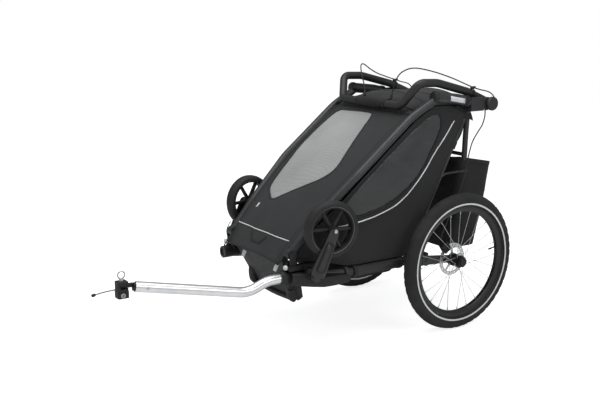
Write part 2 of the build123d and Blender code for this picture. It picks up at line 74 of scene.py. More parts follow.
# ---- places ---------------------------------------------------------------------------------
# Lists of points are in millimetres, with Y measured from the wheel axle. mm() brings a point
# into the row frame, in metres. +X is the trailer's left side and -Y its front.
NEAR_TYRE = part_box("tyre_left")
AXLE_Y = (NEAR_TYRE[0].y + NEAR_TYRE[1].y) / 2
AXLE_Z = (NEAR_TYRE[0].z + NEAR_TYRE[1].z) / 2
WHEEL_R = (NEAR_TYRE[1].z - NEAR_TYRE[0].z) / 2
SIDES = (("left", 1), ("right", -1))


def mm(x, y, z):
    return Vector((x / 1000, y / 1000 + AXLE_Y, z / 1000))


# ---- shader helpers -------------------------------------------------------------------------
class Shader:
    """One Principled material, built node by node."""

    def __init__(self, name, colour, roughness, metallic=0.0):
        self.material = bpy.data.materials.new(name)
        self.material.use_nodes = True
        self.colour = colour
        self.tree = self.material.node_tree
        self.surface = self.tree.nodes["Principled BSDF"]
        self.surface.inputs["Base Color"].default_value = (*colour, 1)
        self.surface.inputs["Roughness"].default_value = roughness
        self.surface.inputs["Metallic"].default_value = metallic
        self.place = self.node("ShaderNodeTexCoord").outputs["Object"]
        self.height = None

    def node(self, kind, **values):
        made = self.tree.nodes.new(kind)
        for key, value in values.items():
            setattr(made, key, value)
        return made

    def link(self, start, end):
        self.tree.links.new(start, end)

    def set(self, socket, value):
        self.surface.inputs[socket].default_value = value

    def math(self, operation, *inputs):
        made = self.node("ShaderNodeMath", operation=operation)
        for index, value in enumerate(inputs):
            if isinstance(value, (int, float)):
                made.inputs[index].default_value = value
            else:
                self.link(value, made.inputs[index])
        return made.outputs[0]

    def noise(self, scale, detail=3.0, stretch=None, distortion=0.0):
        made = self.node("ShaderNodeTexNoise")
        made.inputs["Scale"].default_value = scale
        made.inputs["Detail"].default_value = detail
        made.inputs["Distortion"].default_value = distortion
        place = self.place
        if stretch is not None:
            mapping = self.node("ShaderNodeMapping")
            mapping.inputs["Scale"].default_value = stretch
            self.link(self.place, mapping.inputs["Vector"])
            place = mapping.outputs["Vector"]
        self.link(place, made.inputs["Vector"])
        return made.outputs["Fac"]

    def cells(self, scale):
        made = self.node("ShaderNodeTexVoronoi")
        made.inputs["Scale"].default_value = scale
        self.link(self.place, made.inputs["Vector"])
        return made.outputs["Distance"]

    def ramp(self, factor, low, high, start=0.0, end=1.0):
        """The factor spread from low to high, between two places on the ramp."""
        made = self.node("ShaderNodeMapRange")
        self.link(factor, made.inputs["Value"])
        for key, value in (("From Min", start), ("From Max", end), ("To Min", low), ("To Max", high)):
            made.inputs[key].default_value = value
        return made.outputs["Result"]

    def vary(self, factor, start, end, times, more=0.0):
        """Base colour that grows to that many times itself between two places of the factor."""
        spread = self.ramp(factor, 0, 1, start, end)
        made = self.node("ShaderNodeMix", data_type="RGBA")
        self.link(spread, made.inputs[0])
        made.inputs[6].default_value = (*self.colour, 1)
        made.inputs[7].default_value = (*(times * value + more for value in self.colour), 1)
        self.link(made.outputs[2], self.surface.inputs["Base Color"])
        return made.outputs[2]

    def rough(self, factor, low, high):
        self.link(self.ramp(factor, low, high), self.surface.inputs["Roughness"])

    def add_height(self, factor, millimetres):
        """Add a relief of that depth to the surface."""
        scaled = self.math("MULTIPLY", factor, millimetres / 1000)
        self.height = scaled if self.height is None else self.math("ADD", self.height, scaled)

    def done(self):
        if self.height is not None:
            bump = self.node("ShaderNodeBump")
            bump.inputs["Strength"].default_value = 1.0
            bump.inputs["Distance"].default_value = 1.0
            self.link(self.height, bump.inputs["Height"])
            self.link(bump.outputs["Normal"], self.surface.inputs["Normal"])
        return self.material

    def bands(self, direction, count):
        """Sine bands across one row axis, count of them in a metre."""
        made = self.node("ShaderNodeTexWave", wave_type="BANDS", bands_direction=direction)
        made.inputs["Scale"].default_value = count / 20 * 2 * math.pi
        self.link(self.place, made.inputs["Vector"])
        return made.outputs["Fac"]

    def facing(self):
        """How much the surface faces each row axis, as three factors."""
        normal = self.node("ShaderNodeNewGeometry").outputs["Normal"]
        split = self.node("ShaderNodeSeparateXYZ")
        self.link(normal, split.inputs[0])
        return [self.math("ABSOLUTE", split.outputs[axis]) for axis in range(3)]

    def weave(self, threads):
        """Crossing threads, seen flat on whichever row axis the cloth faces most."""
        x, y, z = (self.bands(axis, threads) for axis in "XYZ")
        facing_x, facing_y, facing_z = self.facing()
        on_x = self.math("MULTIPLY", self.math("MAXIMUM", y, z), facing_x)
        on_y = self.math("MULTIPLY", self.math("MAXIMUM", x, z), facing_y)
        on_z = self.math("MULTIPLY", self.math("MAXIMUM", x, y), facing_z)
        return self.math("ADD", self.math("ADD", on_x, on_y), on_z)


def cloth(name, colour, threads=900, wrinkle=1.2, light=1.5, sheen=0.1):
    """Woven pack cloth: threads, faint wrinkles, and a little fading and dust."""
    shader = Shader(name, colour, 0.8)
    fade = shader.noise(7, 5)
    weave = shader.weave(threads)
    base = shader.vary(fade, 0.35, 0.68, light)
    mixed = shader.node("ShaderNodeMix", data_type="RGBA", blend_type="MULTIPLY")
    mixed.inputs[0].default_value = 0.5
    shader.link(base, mixed.inputs[6])
    shader.link(shader.ramp(weave, 0.35, 1.25), mixed.inputs[7])
    shader.link(mixed.outputs[2], shader.surface.inputs["Base Color"])
    shader.rough(fade, 0.68, 0.92)
    shader.set("Sheen Weight", sheen)
    shader.set("Sheen Roughness", 0.5)
    shader.add_height(weave, 0.12)
    shader.add_height(shader.noise(16, 2, distortion=0.4), wrinkle)
    return shader.done()


def quilted(name, colour):
    """Heathered seat cloth over foam."""
    shader = Shader(name, colour, 0.9)
    fleck = shader.noise(420, 2, stretch=(1, 1, 2.5))
    shader.vary(fleck, 0.4, 0.62, 2.0)
    shader.rough(shader.noise(9), 0.8, 0.98)
    shader.set("Sheen Weight", 0.4)
    shader.add_height(shader.weave(620), 0.18)
    shader.add_height(shader.noise(25, 3), 0.8)
    return shader.done()


def webbing(name, colour):
    """Narrow ribbed strap."""
    shader = Shader(name, colour, 0.7)
    ribs = shader.weave(420)
    shader.vary(shader.noise(60, 2), 0.3, 0.7, 1.9)
    shader.rough(ribs, 0.55, 0.85)
    shader.add_height(ribs, 0.3)
    return shader.done()


def net(name, colour):
    """Fine netting: small round holes let what is behind show through."""
    shader = Shader(name, colour, 0.75)
    weave = shader.weave(620)
    shader.vary(shader.noise(5, 3), 0.35, 0.7, 1.25)
    shader.link(shader.ramp(weave, 0.43, 1.0, 0.35, 0.8), shader.surface.inputs["Alpha"])
    shader.set("Sheen Weight", 0.3)
    shader.add_height(weave, 0.15)
    shader.add_height(shader.noise(9, 2), 1.2)
    return shader.done()


def film(name, colour, alpha):
    """Tinted window film with soft creases."""
    shader = Shader(name, colour, 0.28)
    crease = shader.noise(7, 3, stretch=(1, 1.0, 2.2), distortion=0.8)
    shader.vary(crease, 0.3, 0.75, 1.35)
    shader.rough(crease, 0.24, 0.42)
    shader.set("Alpha", alpha)
    shader.add_height(crease, 3.0)
    shader.add_height(shader.noise(30, 2), 0.25)
    return shader.done()


def coated(name, colour, roughness=0.42):
    """Powder-coated aluminium: a fine orange peel and a few dull rubbed places."""
    shader = Shader(name, colour, roughness)
    worn = shader.noise(22, 6, distortion=0.6)
    shader.vary(worn, 0.55, 0.75, 1.45)
    shader.rough(shader.noise(45, 4), roughness - 0.1, roughness + 0.14)
    shader.set("Coat Weight", 0.12)
    shader.set("Coat Roughness", 0.3)
    shader.add_height(shader.noise(900, 2), 0.05)
    return shader.done()


def moulded(name, colour, roughness=0.55, grain=1400, depth=0.07):
    """Moulded plastic with a leather-like grain and lightly scuffed patches."""
    shader = Shader(name, colour, roughness)
    scuff = shader.noise(30, 7, distortion=1.2)
    shader.vary(scuff, 0.56, 0.8, 1.7, 0.01)
    shader.rough(shader.noise(70, 4), roughness - 0.1, roughness + 0.12)
    shader.add_height(shader.cells(grain), depth)
    return shader.done()


def rubber(name, colour, roughness=0.8):
    """Tyre rubber with mould bloom and dust."""
    shader = Shader(name, colour, roughness)
    dust = shader.noise(14, 7, distortion=0.5)
    shader.vary(dust, 0.42, 0.75, 1.5, 0.012)
    shader.rough(dust, roughness - 0.12, min(0.98, roughness + 0.12))
    shader.add_height(shader.noise(500, 3), 0.12)
    return shader.done()


def metal(name, colour, roughness, stretch=(1, 60, 1)):
    """Bare metal with drawn or brushed lines along one axis and some fingermarks."""
    shader = Shader(name, colour, roughness, 1.0)
    lines = shader.noise(40, 4, stretch=stretch)
    marks = shader.noise(18, 5, distortion=0.7)
    shader.vary(marks, 0.35, 0.8, 0.86)
    mixed = shader.math("MULTIPLY", shader.math("ADD", lines, marks), 0.5)
    shader.rough(mixed, roughness - 0.07, roughness + 0.12)
    shader.add_height(lines, 0.03)
    return shader.done()


def bead_film(name, colour):
    """Reflective film of tiny glass beads in a hexagonal print."""
    shader = Shader(name, colour, 0.3)
    cell = shader.cells(380)
    shader.vary(cell, 0.2, 0.8, 0.82)
    shader.rough(shader.noise(60), 0.22, 0.4)
    shader.set("Coat Weight", 0.5)
    shader.set("Coat Roughness", 0.12)
    shader.add_height(cell, 0.1)
    return shader.done()


def cord_cover(name, colour, turns=900):
    """Cable housing or braided cord."""
    shader = Shader(name, colour, 0.45)
    ribs = shader.noise(turns, 2)
    shader.vary(ribs, 0.35, 0.7, 1.9, 0.01)
    shader.rough(ribs, 0.35, 0.6)
    shader.add_height(ribs, 0.1)
    return shader.done()


LOOK = {
    "cover": cloth("cover_cloth", (0.017, 0.0174, 0.0185), sheen=0.09),
    "side_cloth": cloth("side_cloth", (0.010, 0.010, 0.011), light=1.8),
    "bag_cloth": cloth("bag_cloth", (0.007, 0.007, 0.008), wrinkle=2.5, light=2.0),
    "trim_cloth": cloth("trim_cloth", (0.008, 0.008, 0.009), threads=1400, wrinkle=0.4),
    # The net's pale grey base colour is painted light: it stands for the bright light that the netting
    # catches.
    "net": net("window_net", (0.36, 0.36, 0.36)),
    "film": film("window_film", (0.045, 0.046, 0.047), 0.92),
    "seat": quilted("seat_cloth", (0.05, 0.05, 0.055)),
    "seat_side": quilted("seat_bolster_cloth", (0.02, 0.02, 0.022)),
    "strap": webbing("strap_webbing", (0.014, 0.014, 0.014)),
    "grey_tube": coated("grey_frame_coating", (0.030, 0.031, 0.033)),
    "black_tube": coated("black_frame_coating", (0.014, 0.014, 0.015)),
    "bar_coat": coated("handlebar_coating", (0.018, 0.018, 0.019), 0.5),
    "plastic": moulded("black_plastic", (0.010, 0.010, 0.011)),
    "grey_plastic": moulded("arm_plastic", (0.030, 0.030, 0.032), 0.5),
    "nose": moulded("nose_skin", (0.026, 0.026, 0.028), 0.62, 900, 0.12),
    "tyre": rubber("tyre_rubber", (0.013, 0.013, 0.014)),
    "small_tyre": rubber("small_tyre_rubber", (0.011, 0.011, 0.012), 0.66),
    "grip": rubber("grip_rubber", (0.014, 0.014, 0.015), 0.74),
    "rim": coated("rim_coating", (0.012, 0.012, 0.013), 0.36),
    "silver": metal("polished_tow_tube", (0.95, 0.95, 0.96), 0.3, (14, 1, 14)),
    "steel": metal("bright_steel", (0.66, 0.66, 0.67), 0.26),
    "rotor": metal("rotor_steel", (0.78, 0.78, 0.78), 0.3, (1, 6, 6)),
    "spoke": metal("spoke_steel", (0.74, 0.74, 0.75), 0.25),
    "alloy": coated("suspension_arm_coating", (0.03, 0.03, 0.032), 0.38),
    "reflective": bead_film("reflective_film", (0.86, 0.87, 0.88)),
    "cable": cord_cover("cable_housing", (0.012, 0.012, 0.012)),
    "elastic": cord_cover("elastic_cord", (0.014, 0.014, 0.014), 500),
    "leash": cord_cover("leash_cover", (0.16, 0.16, 0.165), 1200),
    # Light grey rim lip: a painted highlight along the edge of the small wheels' rims.
    "lip": coated("rim_lip_painted_highlight", (0.16, 0.16, 0.165), 0.35),
    "white_piping": rubber("white_piping", (0.72, 0.72, 0.72), 0.5),
    "white_plate": moulded("white_disc", (0.8, 0.8, 0.8), 0.3),
}


# ---- mesh helpers ---------------------------------------------------------------------------
def make(name, points, faces, look, body=None, sharp=38):
    """A smooth-shaded mesh from points in millimetres; edges sharper than the angle stay crisp."""
    form = bmesh.new()
    corners = [form.verts.new(mm(*point)) for point in points]
    for face in faces:
        try:
            form.faces.new([corners[index] for index in face])
        except ValueError:
            continue
    bmesh.ops.remove_doubles(form, verts=form.verts, dist=2e-6)
    bmesh.ops.recalc_face_normals(form, faces=form.faces)
    mesh = bpy.data.meshes.new(name)
    form.to_mesh(mesh)
    form.free()
    mesh.shade_smooth()
    mesh.set_sharp_from_angle(angle=math.radians(sharp))
    mesh.materials.append(LOOK[look])
    thing = bpy.data.objects.new(name, mesh)
    bpy.context.scene.collection.objects.link(thing)
    if body is not None:
        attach(thing, body)
    return thing


def skin(name, rings, look, body=None, loop=True, caps=True, endless=False, sharp=38):
    """Faces between rings of points. loop closes each ring, endless joins the last to the first."""
    points = [point for ring in rings for point in ring]
    width = len(rings[0])
    faces = []
    for row in range(len(rings) if endless else len(rings) - 1):
        start, after = row * width, (row + 1) % len(rings) * width
        for column in range(width if loop else width - 1):
            beside = (column + 1) % width
            faces.append((start + column, start + beside, after + beside, after + column))
    if caps and loop and not endless:
        faces.append(tuple(range(width)))
        faces.append(tuple(len(points) - width + index for index in range(width)))
    return make(name, points, faces, look, body, sharp)


def thicken(thing, millimetres):
    """Give a sheet its thickness, half of it on each side."""
    solid = thing.modifiers.new("Thickness", "SOLIDIFY")
    solid.thickness = millimetres / 1000
    solid.offset = 0.0
    return thing


def soften(thing, millimetres, segments=3):
    """Round the hard edges of a casting or moulding."""
    weld = thing.modifiers.new("Weld", "WELD")
    weld.merge_threshold = 1e-5
    bevel = thing.modifiers.new("Rounded edges", "BEVEL")
    bevel.width = millimetres / 1000
    bevel.segments = segments
    bevel.limit_method = "ANGLE"
    bevel.angle_limit = math.radians(30)
    bevel.harden_normals = True
    return thing


def curve_through(points, step=8.0, closed=False):
    """Points about a step apart on a smooth curve through the given ones."""
    known = [Vector(point) for point in points]
    count = len(known)
    line = []
    for index in range(count if closed else count - 1):
        first, second = known[index], known[(index + 1) % count]
        before = known[index - 1] if closed or index else 2 * first - second
        after = known[(index + 2) % count] if closed or index + 2 < count else 2 * second - first
        parts = max(1, round((second - first).length / step))
        for part in range(parts):
            t = part / parts
            line.append(0.5 * (
                2 * first + (second - before) * t
                + (2 * before - 5 * first + 4 * second - after) * t * t
                + (3 * first - before - 3 * second + after) * t ** 3
            ))
    if not closed:
        line.append(known[-1])
    return line


def circle_section(radius, sides=12):
    turns = [2 * math.pi * index / sides for index in range(sides)]
    return [(radius * math.cos(turn), radius * math.sin(turn)) for turn in turns]


def oval_section(width, height, power=4.0, sides=20):
    """A rounded rectangle: (across, outwards) pairs."""
    pairs = []
    for index in range(sides):
        turn = 2 * math.pi * index / sides
        c, s = math.cos(turn), math.sin(turn)
        reach = (abs(c) ** power + abs(s) ** power) ** (-1 / power)
        pairs.append((width / 2 * reach * c, height / 2 * reach * s))
    return pairs


def swept(name, line, section, look, body=None, outwards=None, closed=False, size=None, sharp=38):
    """A section of (across, outwards) pairs carried along a line of points."""
    rings = []
    count = len(line)
    normal = None
    for index, here in enumerate(line):
        ahead = line[(index + 1) % count] if closed else line[min(index + 1, count - 1)]
        behind = line[index - 1] if closed or index else line[0]
        forward = (ahead - behind).normalized()
        if outwards is not None:
            normal = Vector(outwards(index) if callable(outwards) else outwards)
        elif normal is None:
            normal = forward.orthogonal()
        normal = (normal - forward * normal.dot(forward)).normalized()
        across = forward.cross(normal)
        grow = size(index / (count - 1)) if size else 1
        rings.append([here + across * u * grow + normal * v * grow for u, v in section])
    return skin(name, rings, look, body, endless=closed, sharp=sharp)


def pipe(name, points, radius, look, body=None, closed=False, step=8.0, sides=12):
    line = curve_through(points, step, closed)
    return swept(name, line, circle_section(radius, sides), look, body, closed=closed)


def lathe(name, profile, centre, look, body=None, axis=(1, 0, 0), segments=72, endless=False, sharp=38):
    """(along, radius) pairs turned about an axis through the centre."""
    forward = Vector(axis).normalized()
    side = forward.orthogonal().normalized()
    up = forward.cross(side)
    middle = Vector(centre)
    rings = []
    for along, radius in profile:
        ring = []
        for index in range(segments):
            turn = 2 * math.pi * index / segments
            ring.append(middle + forward * along + (side * math.cos(turn) + up * math.sin(turn)) * radius)
        rings.append(ring)
    return skin(name, rings, look, body, caps=not endless, endless=endless, sharp=sharp)


def block(name, centre, size, look, body, turn, rounding):
    """A moulded block with rounded edges. turn is a rotation matrix."""
    half = Vector(size) / 2
    signs = [Vector((x, y, z)) for x in (-1, 1) for y in (-1, 1) for z in (-1, 1)]
    points = [Vector(centre) + turn @ (half * sign) for sign in signs]
    faces = [(0, 1, 3, 2), (4, 6, 7, 5), (0, 4, 5, 1), (2, 3, 7, 6), (0, 2, 6, 4), (1, 5, 7, 3)]
    return soften(make(name, points, faces, look, body), rounding)


def bowed(start, middle, end, parts=5):
    """Points on the curve from start to end that the middle point pulls to itself."""
    steps = [part / parts for part in range(parts + 1)]
    return [start * (1 - t) ** 2 + middle * 2 * t * (1 - t) + end * t * t for t in steps]


def rounded(corners, radius):
    """A closed outline of plane points with rounded corners."""
    line = []
    flat = [Vector(corner) for corner in corners]
    for index, here in enumerate(flat):
        before, after = flat[index - 1] - here, flat[(index + 1) % len(flat)] - here
        start = here + before.normalized() * min(radius, before.length * 0.45)
        end = here + after.normalized() * min(radius, after.length * 0.45)
        line += bowed(start, here, end, 6)
    return line


def evenly(loop, step):
    """A closed plane line again, with points about a step apart."""
    spread = []
    for index, here in enumerate(loop):
        after = loop[(index + 1) % len(loop)]
        parts = max(1, round((after - here).length / step))
        spread += [here.lerp(after, part / parts) for part in range(parts)]
    kept = []
    for point in spread:
        if not kept or (point - kept[-1]).length > step * 0.4:
            kept.append(point)
    return kept


def contains(loop, point):
    """Whether a plane point lies inside a closed line."""
    inside = False
    for index, here in enumerate(loop):
        other = loop[index - 1]
        if (here.y > point.y) != (other.y > point.y):
            cross = here.x + (point.y - here.y) / (other.y - here.y) * (other.x - here.x)
            inside = inside != (point.x < cross)
    return inside


def plane_mesh(outline, hole=None, step=9.0):
    """Points and triangles over an outline, without the hole."""
    loops = [evenly(loop, step) for loop in (outline, hole) if loop]
    points, edges = [], []
    for loop in loops:
        first = len(points)
        points += loop
        edges += [(first + index, first + (index + 1) % len(loop)) for index in range(len(loop))]
    border = list(points)
    low = Vector((min(p.x for p in loops[0]), min(p.y for p in loops[0])))
    high = Vector((max(p.x for p in loops[0]), max(p.y for p in loops[0])))
    row = 0
    y = low.y
    while y < high.y:
        x = low.x + (step / 2 if row % 2 else 0)
        while x < high.x:
            point = Vector((x, y))
            free = all((point - edge).length_squared > (step * 0.55) ** 2 for edge in border)
            if free and contains(loops[0], point) and not (hole and contains(loops[1], point)):
                points.append(point)
            x += step
        y += step * 0.87
        row += 1
    result = geometry.delaunay_2d_cdt(points, edges, [], 1, 1e-4)
    kept = []
    for face in result[2]:
        centre = sum((result[0][index] for index in face), Vector((0, 0))) / len(face)
        if not (hole and contains(loops[1], centre)):
            kept.append(tuple(face))
    return result[0], kept


def read_line(table, at):
    """A value read off a smooth line of (position, value) pairs."""
    for index in range(len(table) - 1):
        (a, low), (b, high) = table[index], table[index + 1]
        if at <= b or index == len(table) - 2:
            break
    t = (at - a) / (b - a)
    before = table[index - 1] if index else (2 * a - b, 2 * low - high)
    after = table[index + 2] if index + 2 < len(table) else (2 * b - a, 2 * high - low)
    slope_a = (high - before[1]) / (b - before[0]) * (b - a)
    slope_b = (after[1] - low) / (after[0] - a) * (b - a)
    t2, t3 = t * t, t * t * t
    if t < 0 or t > 1:
        return low + (high - low) * t
    from_low = (2 * t3 - 3 * t2 + 1) * low + (t3 - 2 * t2 + t) * slope_a
    return from_low + (3 * t2 - 2 * t3) * high + (t3 - t2) * slope_b


def on_side(points, sign):
    """Points of the left side, or their mirror images."""
    return [(sign * x, y, z) for x, y, z in points]


def wrinkle(x, y, z, size, depth, seed=0.0):
    """Soft unevenness of stretched cloth."""
    return depth * noise.noise(Vector((x / size + seed, y / size, z / size)))


# ---- front cover and its window -------------------------------------------------------------
COVER_LINE = [
    (-690, 314), (-671, 338), (-640, 380), (-560, 462), (-405, 600), (-290, 694), (-178, 776), (-150, 792),
]
COVER_HALF = [(-690, 170), (-640, 180), (-560, 196), (-405, 213), (-150, 213)]
COVER_FRONT, COVER_REAR = -690, -150
COVER_CROWN = 9
WINDOW = [
    (-168, -194), (32, -194), (44, -212), (112, -413), (82, -456), (-84, -560), (-165, -518), (-200, -345),
    (-186, -215),
]
PIPING_Y = -636


def cover_normal(y):
    ahead = read_line(COVER_LINE, y + 4) - read_line(COVER_LINE, y - 4)
    return Vector((0, -ahead, 8)).normalized()


def cover_point(x, y, lift=0.0):
    """A point on the stretched front cloth above the plan point (x, y)."""
    half = read_line(COVER_HALF, y)
    crown = COVER_CROWN * (1 - min(1, (x / half) ** 2))
    z = read_line(COVER_LINE, y) + crown + wrinkle(x, y, 0, 70, 1.6) + wrinkle(x, y, 0, 24, 0.4, 5)
    return Vector((x, y, z)) + cover_normal(y) * lift


def cover_band(name, line, section, look="trim_cloth", closed=False):
    """A band that lies along a line on the front cloth."""
    return swept(name, line, section, look, "upper_frame",
                 outwards=lambda index: cover_normal(line[index].y), closed=closed)


left_edge = range(COVER_FRONT, COVER_REAR + 1, 15)
right_edge = range(COVER_REAR, COVER_FRONT - 1, -15)
cover_outline = [Vector((read_line(COVER_HALF, y), y)) for y in left_edge]
cover_outline += [Vector((-read_line(COVER_HALF, y), y)) for y in right_edge]
window_outline = rounded(WINDOW, 26)
flat_points, flat_faces = plane_mesh(cover_outline, window_outline)
cover_points = [cover_point(*point) for point in flat_points]
cover = make("front_cloth", cover_points, flat_faces, "cover", "upper_frame")
thicken(cover, 1.4)
flat_points, flat_faces = plane_mesh(evenly(window_outline, 9))
net_points = [cover_point(*point, -1.2) for point in flat_points]
window_net = make("front_window_net", net_points, flat_faces, "net", "upper_frame")
thicken(window_net, 0.6)
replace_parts(cover, "front_cover")
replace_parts(window_net, "mesh_window")

border = [cover_point(*point, 1.0) for point in evenly(window_outline, 9)]
cover_band("window_binding", border, oval_section(7, 1.6), closed=True)
for side, sign in SIDES:
    edge = [cover_point(sign * (read_line(COVER_HALF, y) - 1), y, 1.5) for y in range(-686, -150, 12)]
    cover_band(f"cover_edge_{side}", edge, oval_section(13, 3.4), "side_cloth")
    seam = [cover_point(sign * (read_line(COVER_HALF, y) - 22), y, 1.0) for y in range(-686, -150, 10)]
    cover_band(f"cover_seam_{side}", seam, oval_section(2.2, 1.0, 2, 8))
    flap = []
    for y in range(-676, -150, 12):
        brim = cover_point(sign * read_line(COVER_HALF, y), y)
        flap.append([brim + Vector((sign * drop * 0.12, drop * 0.18, -drop)) for drop in (0, 7, 15, 24)])
    thicken(skin(f"cover_flap_{side}", flap, "cover", "upper_frame", loop=False), 1.2)

piping = [cover_point(x, PIPING_Y - 6 * (1 - (x / 175) ** 2), 2.2) for x in range(-176, 166, 6)]
swept("cover_piping", piping, circle_section(1.9), "white_piping", "upper_frame")
tab = [cover_point(x, y, 1.8) for x, y in ((-62, -650), (36, -650), (14, -667), (-40, -667))]
tab_line = [tab[0].lerp(tab[3], t) for t in (0, 0.5, 1)]
tab_line += [tab[3].lerp(tab[2], t) for t in (0.33, 0.66, 1)]
tab_line += [tab[2].lerp(tab[1], t) for t in (0.5, 1)]
swept("pull_tab", tab_line, oval_section(8, 2.2), "strap", "upper_frame", outwards=cover_normal(-655))
tag = [[cover_point(-144 + 10 * u, -572 - 14 * v, 1.4) for u in (0, 1)] for v in (0, 0.5, 1)]
thicken(skin("cloth_tag", tag, "white_piping", "upper_frame", loop=False), 0.8)

# ---- roof -----------------------------------------------------------------------------------
ROOF_HALF = 209
ROOF_LINE = [(-156, 792), (-120, 800), (0, 802), (110, 799)]


def roof_point(x, y, lift=0.0):
    """A point on the crowned roof, which sags a little between its bows."""
    rise = 9 + 35 * min(1, max(0, (y + 156) / 70)) ** 0.6
    sag = 7 * math.sin(math.pi * min(1, max(0, (y + 60) / 150))) ** 2
    z = read_line(ROOF_LINE, y) + (rise - sag) * max(0, 1 - (x / ROOF_HALF) ** 2) ** 0.8
    fold = wrinkle(x * 0.5, y * 1.6, 0, 46, 4.5, 3) * max(0, 1 - (x / ROOF_HALF) ** 4)
    return Vector((x, y, z + fold + lift))


rows = [[roof_point(x, y) for x in range(-208, 209, 8)] for y in range(-152, 113, 6)]
roof = thicken(skin("roof_cloth", rows, "cover", "upper_frame", loop=False), 1.6)
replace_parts(roof, "roof_canopy")
for index, (y, width) in enumerate(((-150, 9), (-84, 5), (20, 5), (110, 9))):
    line = [roof_point(x, y, 1.2) for x in range(-204, 205, 8)]
    section = oval_section(width, 2.4)
    swept(f"roof_seam_{index}", line, section, "trim_cloth", "upper_frame", outwards=(0, 0, 1))
rows = []
for x in range(-204, 205, 8):
    high, low = roof_point(x, -149, 0.6), cover_point(x, -174, 1.8)
    steps = (0, 0.25, 0.5, 0.75, 1)
    rows.append([high.lerp(low, t) + Vector((0, 0, 2 * math.sin(math.pi * t))) for t in steps])
thicken(skin("roof_front_hem", rows, "cover", "upper_frame", loop=False), 1.4)
for side, sign in SIDES:
    line = [roof_point(sign * 207, y, 0.5) for y in range(-150, 112, 6)]
    section = oval_section(8, 6)
    swept(f"roof_edge_{side}", line, section, "side_cloth", "upper_frame", outwards=(sign, 0, 0.6))

# ---- cabin sides ----------------------------------------------------------------------------
WALL = [(-660, 178), (-640, 190), (-600, 205), (-540, 219), (-470, 232), (-400, 238), (-300, 240), (60, 240)]
SIDE_OUTLINE = [
    (-634, 368), (-556, 440), (-402, 578), (-185, 750), (-100, 799), (-20, 799), (52, 776), (48, 742),
    (12, 690), (-34, 600), (-72, 520), (-118, 440), (-140, 380), (-150, 294), (-455, 294), (-540, 318),
    (-634, 330),
]
FILM_OUTLINE = [
    (-104, 780), (-58, 786), (-50, 742), (-72, 690), (-112, 628), (-150, 574), (-200, 530), (-232, 510),
    (-270, 490), (-335, 470), (-410, 456), (-466, 468), (-472, 504), (-398, 571), (-190, 730),
]
SIDE_PIPING = [
    (6, 752), (-38, 698), (-83, 645), (-127, 589), (-189, 524), (-215, 502), (-259, 476), (-333, 453),
    (-410, 439), (-470, 432), (-520, 428),
]


def folding(thing):
    """Cloth that hangs between the lower frame and the folding upper frame; its placement is baked into its
    mesh.
    """
    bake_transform(thing)
    return thing


def side_point(sign, y, z, lift=0.0):
    """A point on a cabin side, which bulges a little above the rail."""
    bulge = 3.5 * math.sin(math.pi * min(1, max(0, (z - 300) / 480))) + wrinkle(sign * 40, y, z, 85, 2.2)
    return Vector((sign * (read_line(WALL, y) + bulge + lift), y, z))


for side, sign in SIDES:
    out = (sign, 0, 0)
    outline = rounded(SIDE_OUTLINE, 30)
    film_line = rounded(FILM_OUTLINE, 20)
    flat_points, flat_faces = plane_mesh(outline, film_line, 10)
    points = [side_point(sign, *point) for point in flat_points]
    wall = make(f"cabin_side_{side}", points, flat_faces, "side_cloth")
    folding(thicken(wall, 1.4))
    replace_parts(wall, f"side_panel_{side}")
    flat_points, flat_faces = plane_mesh(evenly(film_line, 10), step=10)
    points = [side_point(sign, *point, -0.8) for point in flat_points]
    pane = make(f"side_window_{side}", points, flat_faces, "film")
    folding(thicken(pane, 0.7))
    line = [side_point(sign, *point, 1.1) for point in evenly(film_line, 9)]
    binding = oval_section(6, 1.6)
    folding(swept(f"side_window_binding_{side}", line, binding, "trim_cloth", outwards=out, closed=True))
    flat_line = curve_through([(0, y, z) for y, z in SIDE_PIPING], 7)
    line = [side_point(sign, point.y, point.z, 2.2) for point in flat_line]
    folding(swept(f"side_piping_{side}", line, circle_section(2.0), "white_piping", outwards=out))
    line = [side_point(sign, *point, 0.2) for point in evenly(outline, 9)]
    folding(swept(f"side_hem_{side}", line, oval_section(7, 3.2), "trim_cloth", outwards=out, closed=True))

GUSSET_LINE = [(-186, 752), (-140, 776), (-100, 790), (-40, 795), (20, 786), (60, 768), (100, 752)]
for side, sign in SIDES:
    rows = []
    for y in range(-180, 101, 8):
        low = Vector((sign * (read_line(WALL, min(y, 60)) - 0.5), y, read_line(GUSSET_LINE, y) - 6))
        high = roof_point(sign * 207, max(y, -152), -1.5)
        high.y = y
        rows.append(bowed(low, low.lerp(high, 0.5) + Vector((sign * 7, 0, 4)), high))
    gusset = thicken(skin(f"roof_gusset_{side}", rows, "side_cloth", "upper_frame", loop=False), 1.4)

# ---- rear wall, seat and belts --------------------------------------------------------------
REAR_WALL = [(352, -136), (420, -104), (560, -34), (736, 64)]
REAR_HALF = 198


def standing(thing):
    """Inner cloth, with its placement baked into its mesh."""
    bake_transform(thing)
    return thing


def rear_bow(x, z, depth):
    """How far back the bowed rear wall stands."""
    return read_line(REAR_WALL, z) + depth * math.cos(x / REAR_HALF * math.pi / 2)


rows = []
for z in range(352, 737, 12):
    across = range(-REAR_HALF, REAR_HALF + 1, 11)
    rows.append([Vector((x, rear_bow(x, z, 7) + wrinkle(x, z, 0, 60, 3), z)) for x in across])
rear_wall = standing(thicken(skin("rear_wall_cloth", rows, "cover", loop=False), 1.6))
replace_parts(rear_wall, "rear_panel")
for index, z in enumerate((372, 500, 640, 722)):
    line = [Vector((x, rear_bow(x, z, 9), z)) for x in range(-196, 197, 8)]
    standing(swept(f"rear_wall_seam_{index}", line, oval_section(5, 2), "trim_cloth", outwards=(0, 1, 0)))
VALANCE_FOOT = 726
rows = []
for x in range(-204, 205, 12):
    high = roof_point(x, 110, -1.0)
    foot_y = read_line(REAR_WALL, VALANCE_FOOT) + 10 * math.cos(x / 208 * math.pi / 2)
    low = Vector((x * 0.965, foot_y, VALANCE_FOOT))
    rows.append(bowed(high, high.lerp(low, 0.5) + Vector((0, 10, 4)), low))
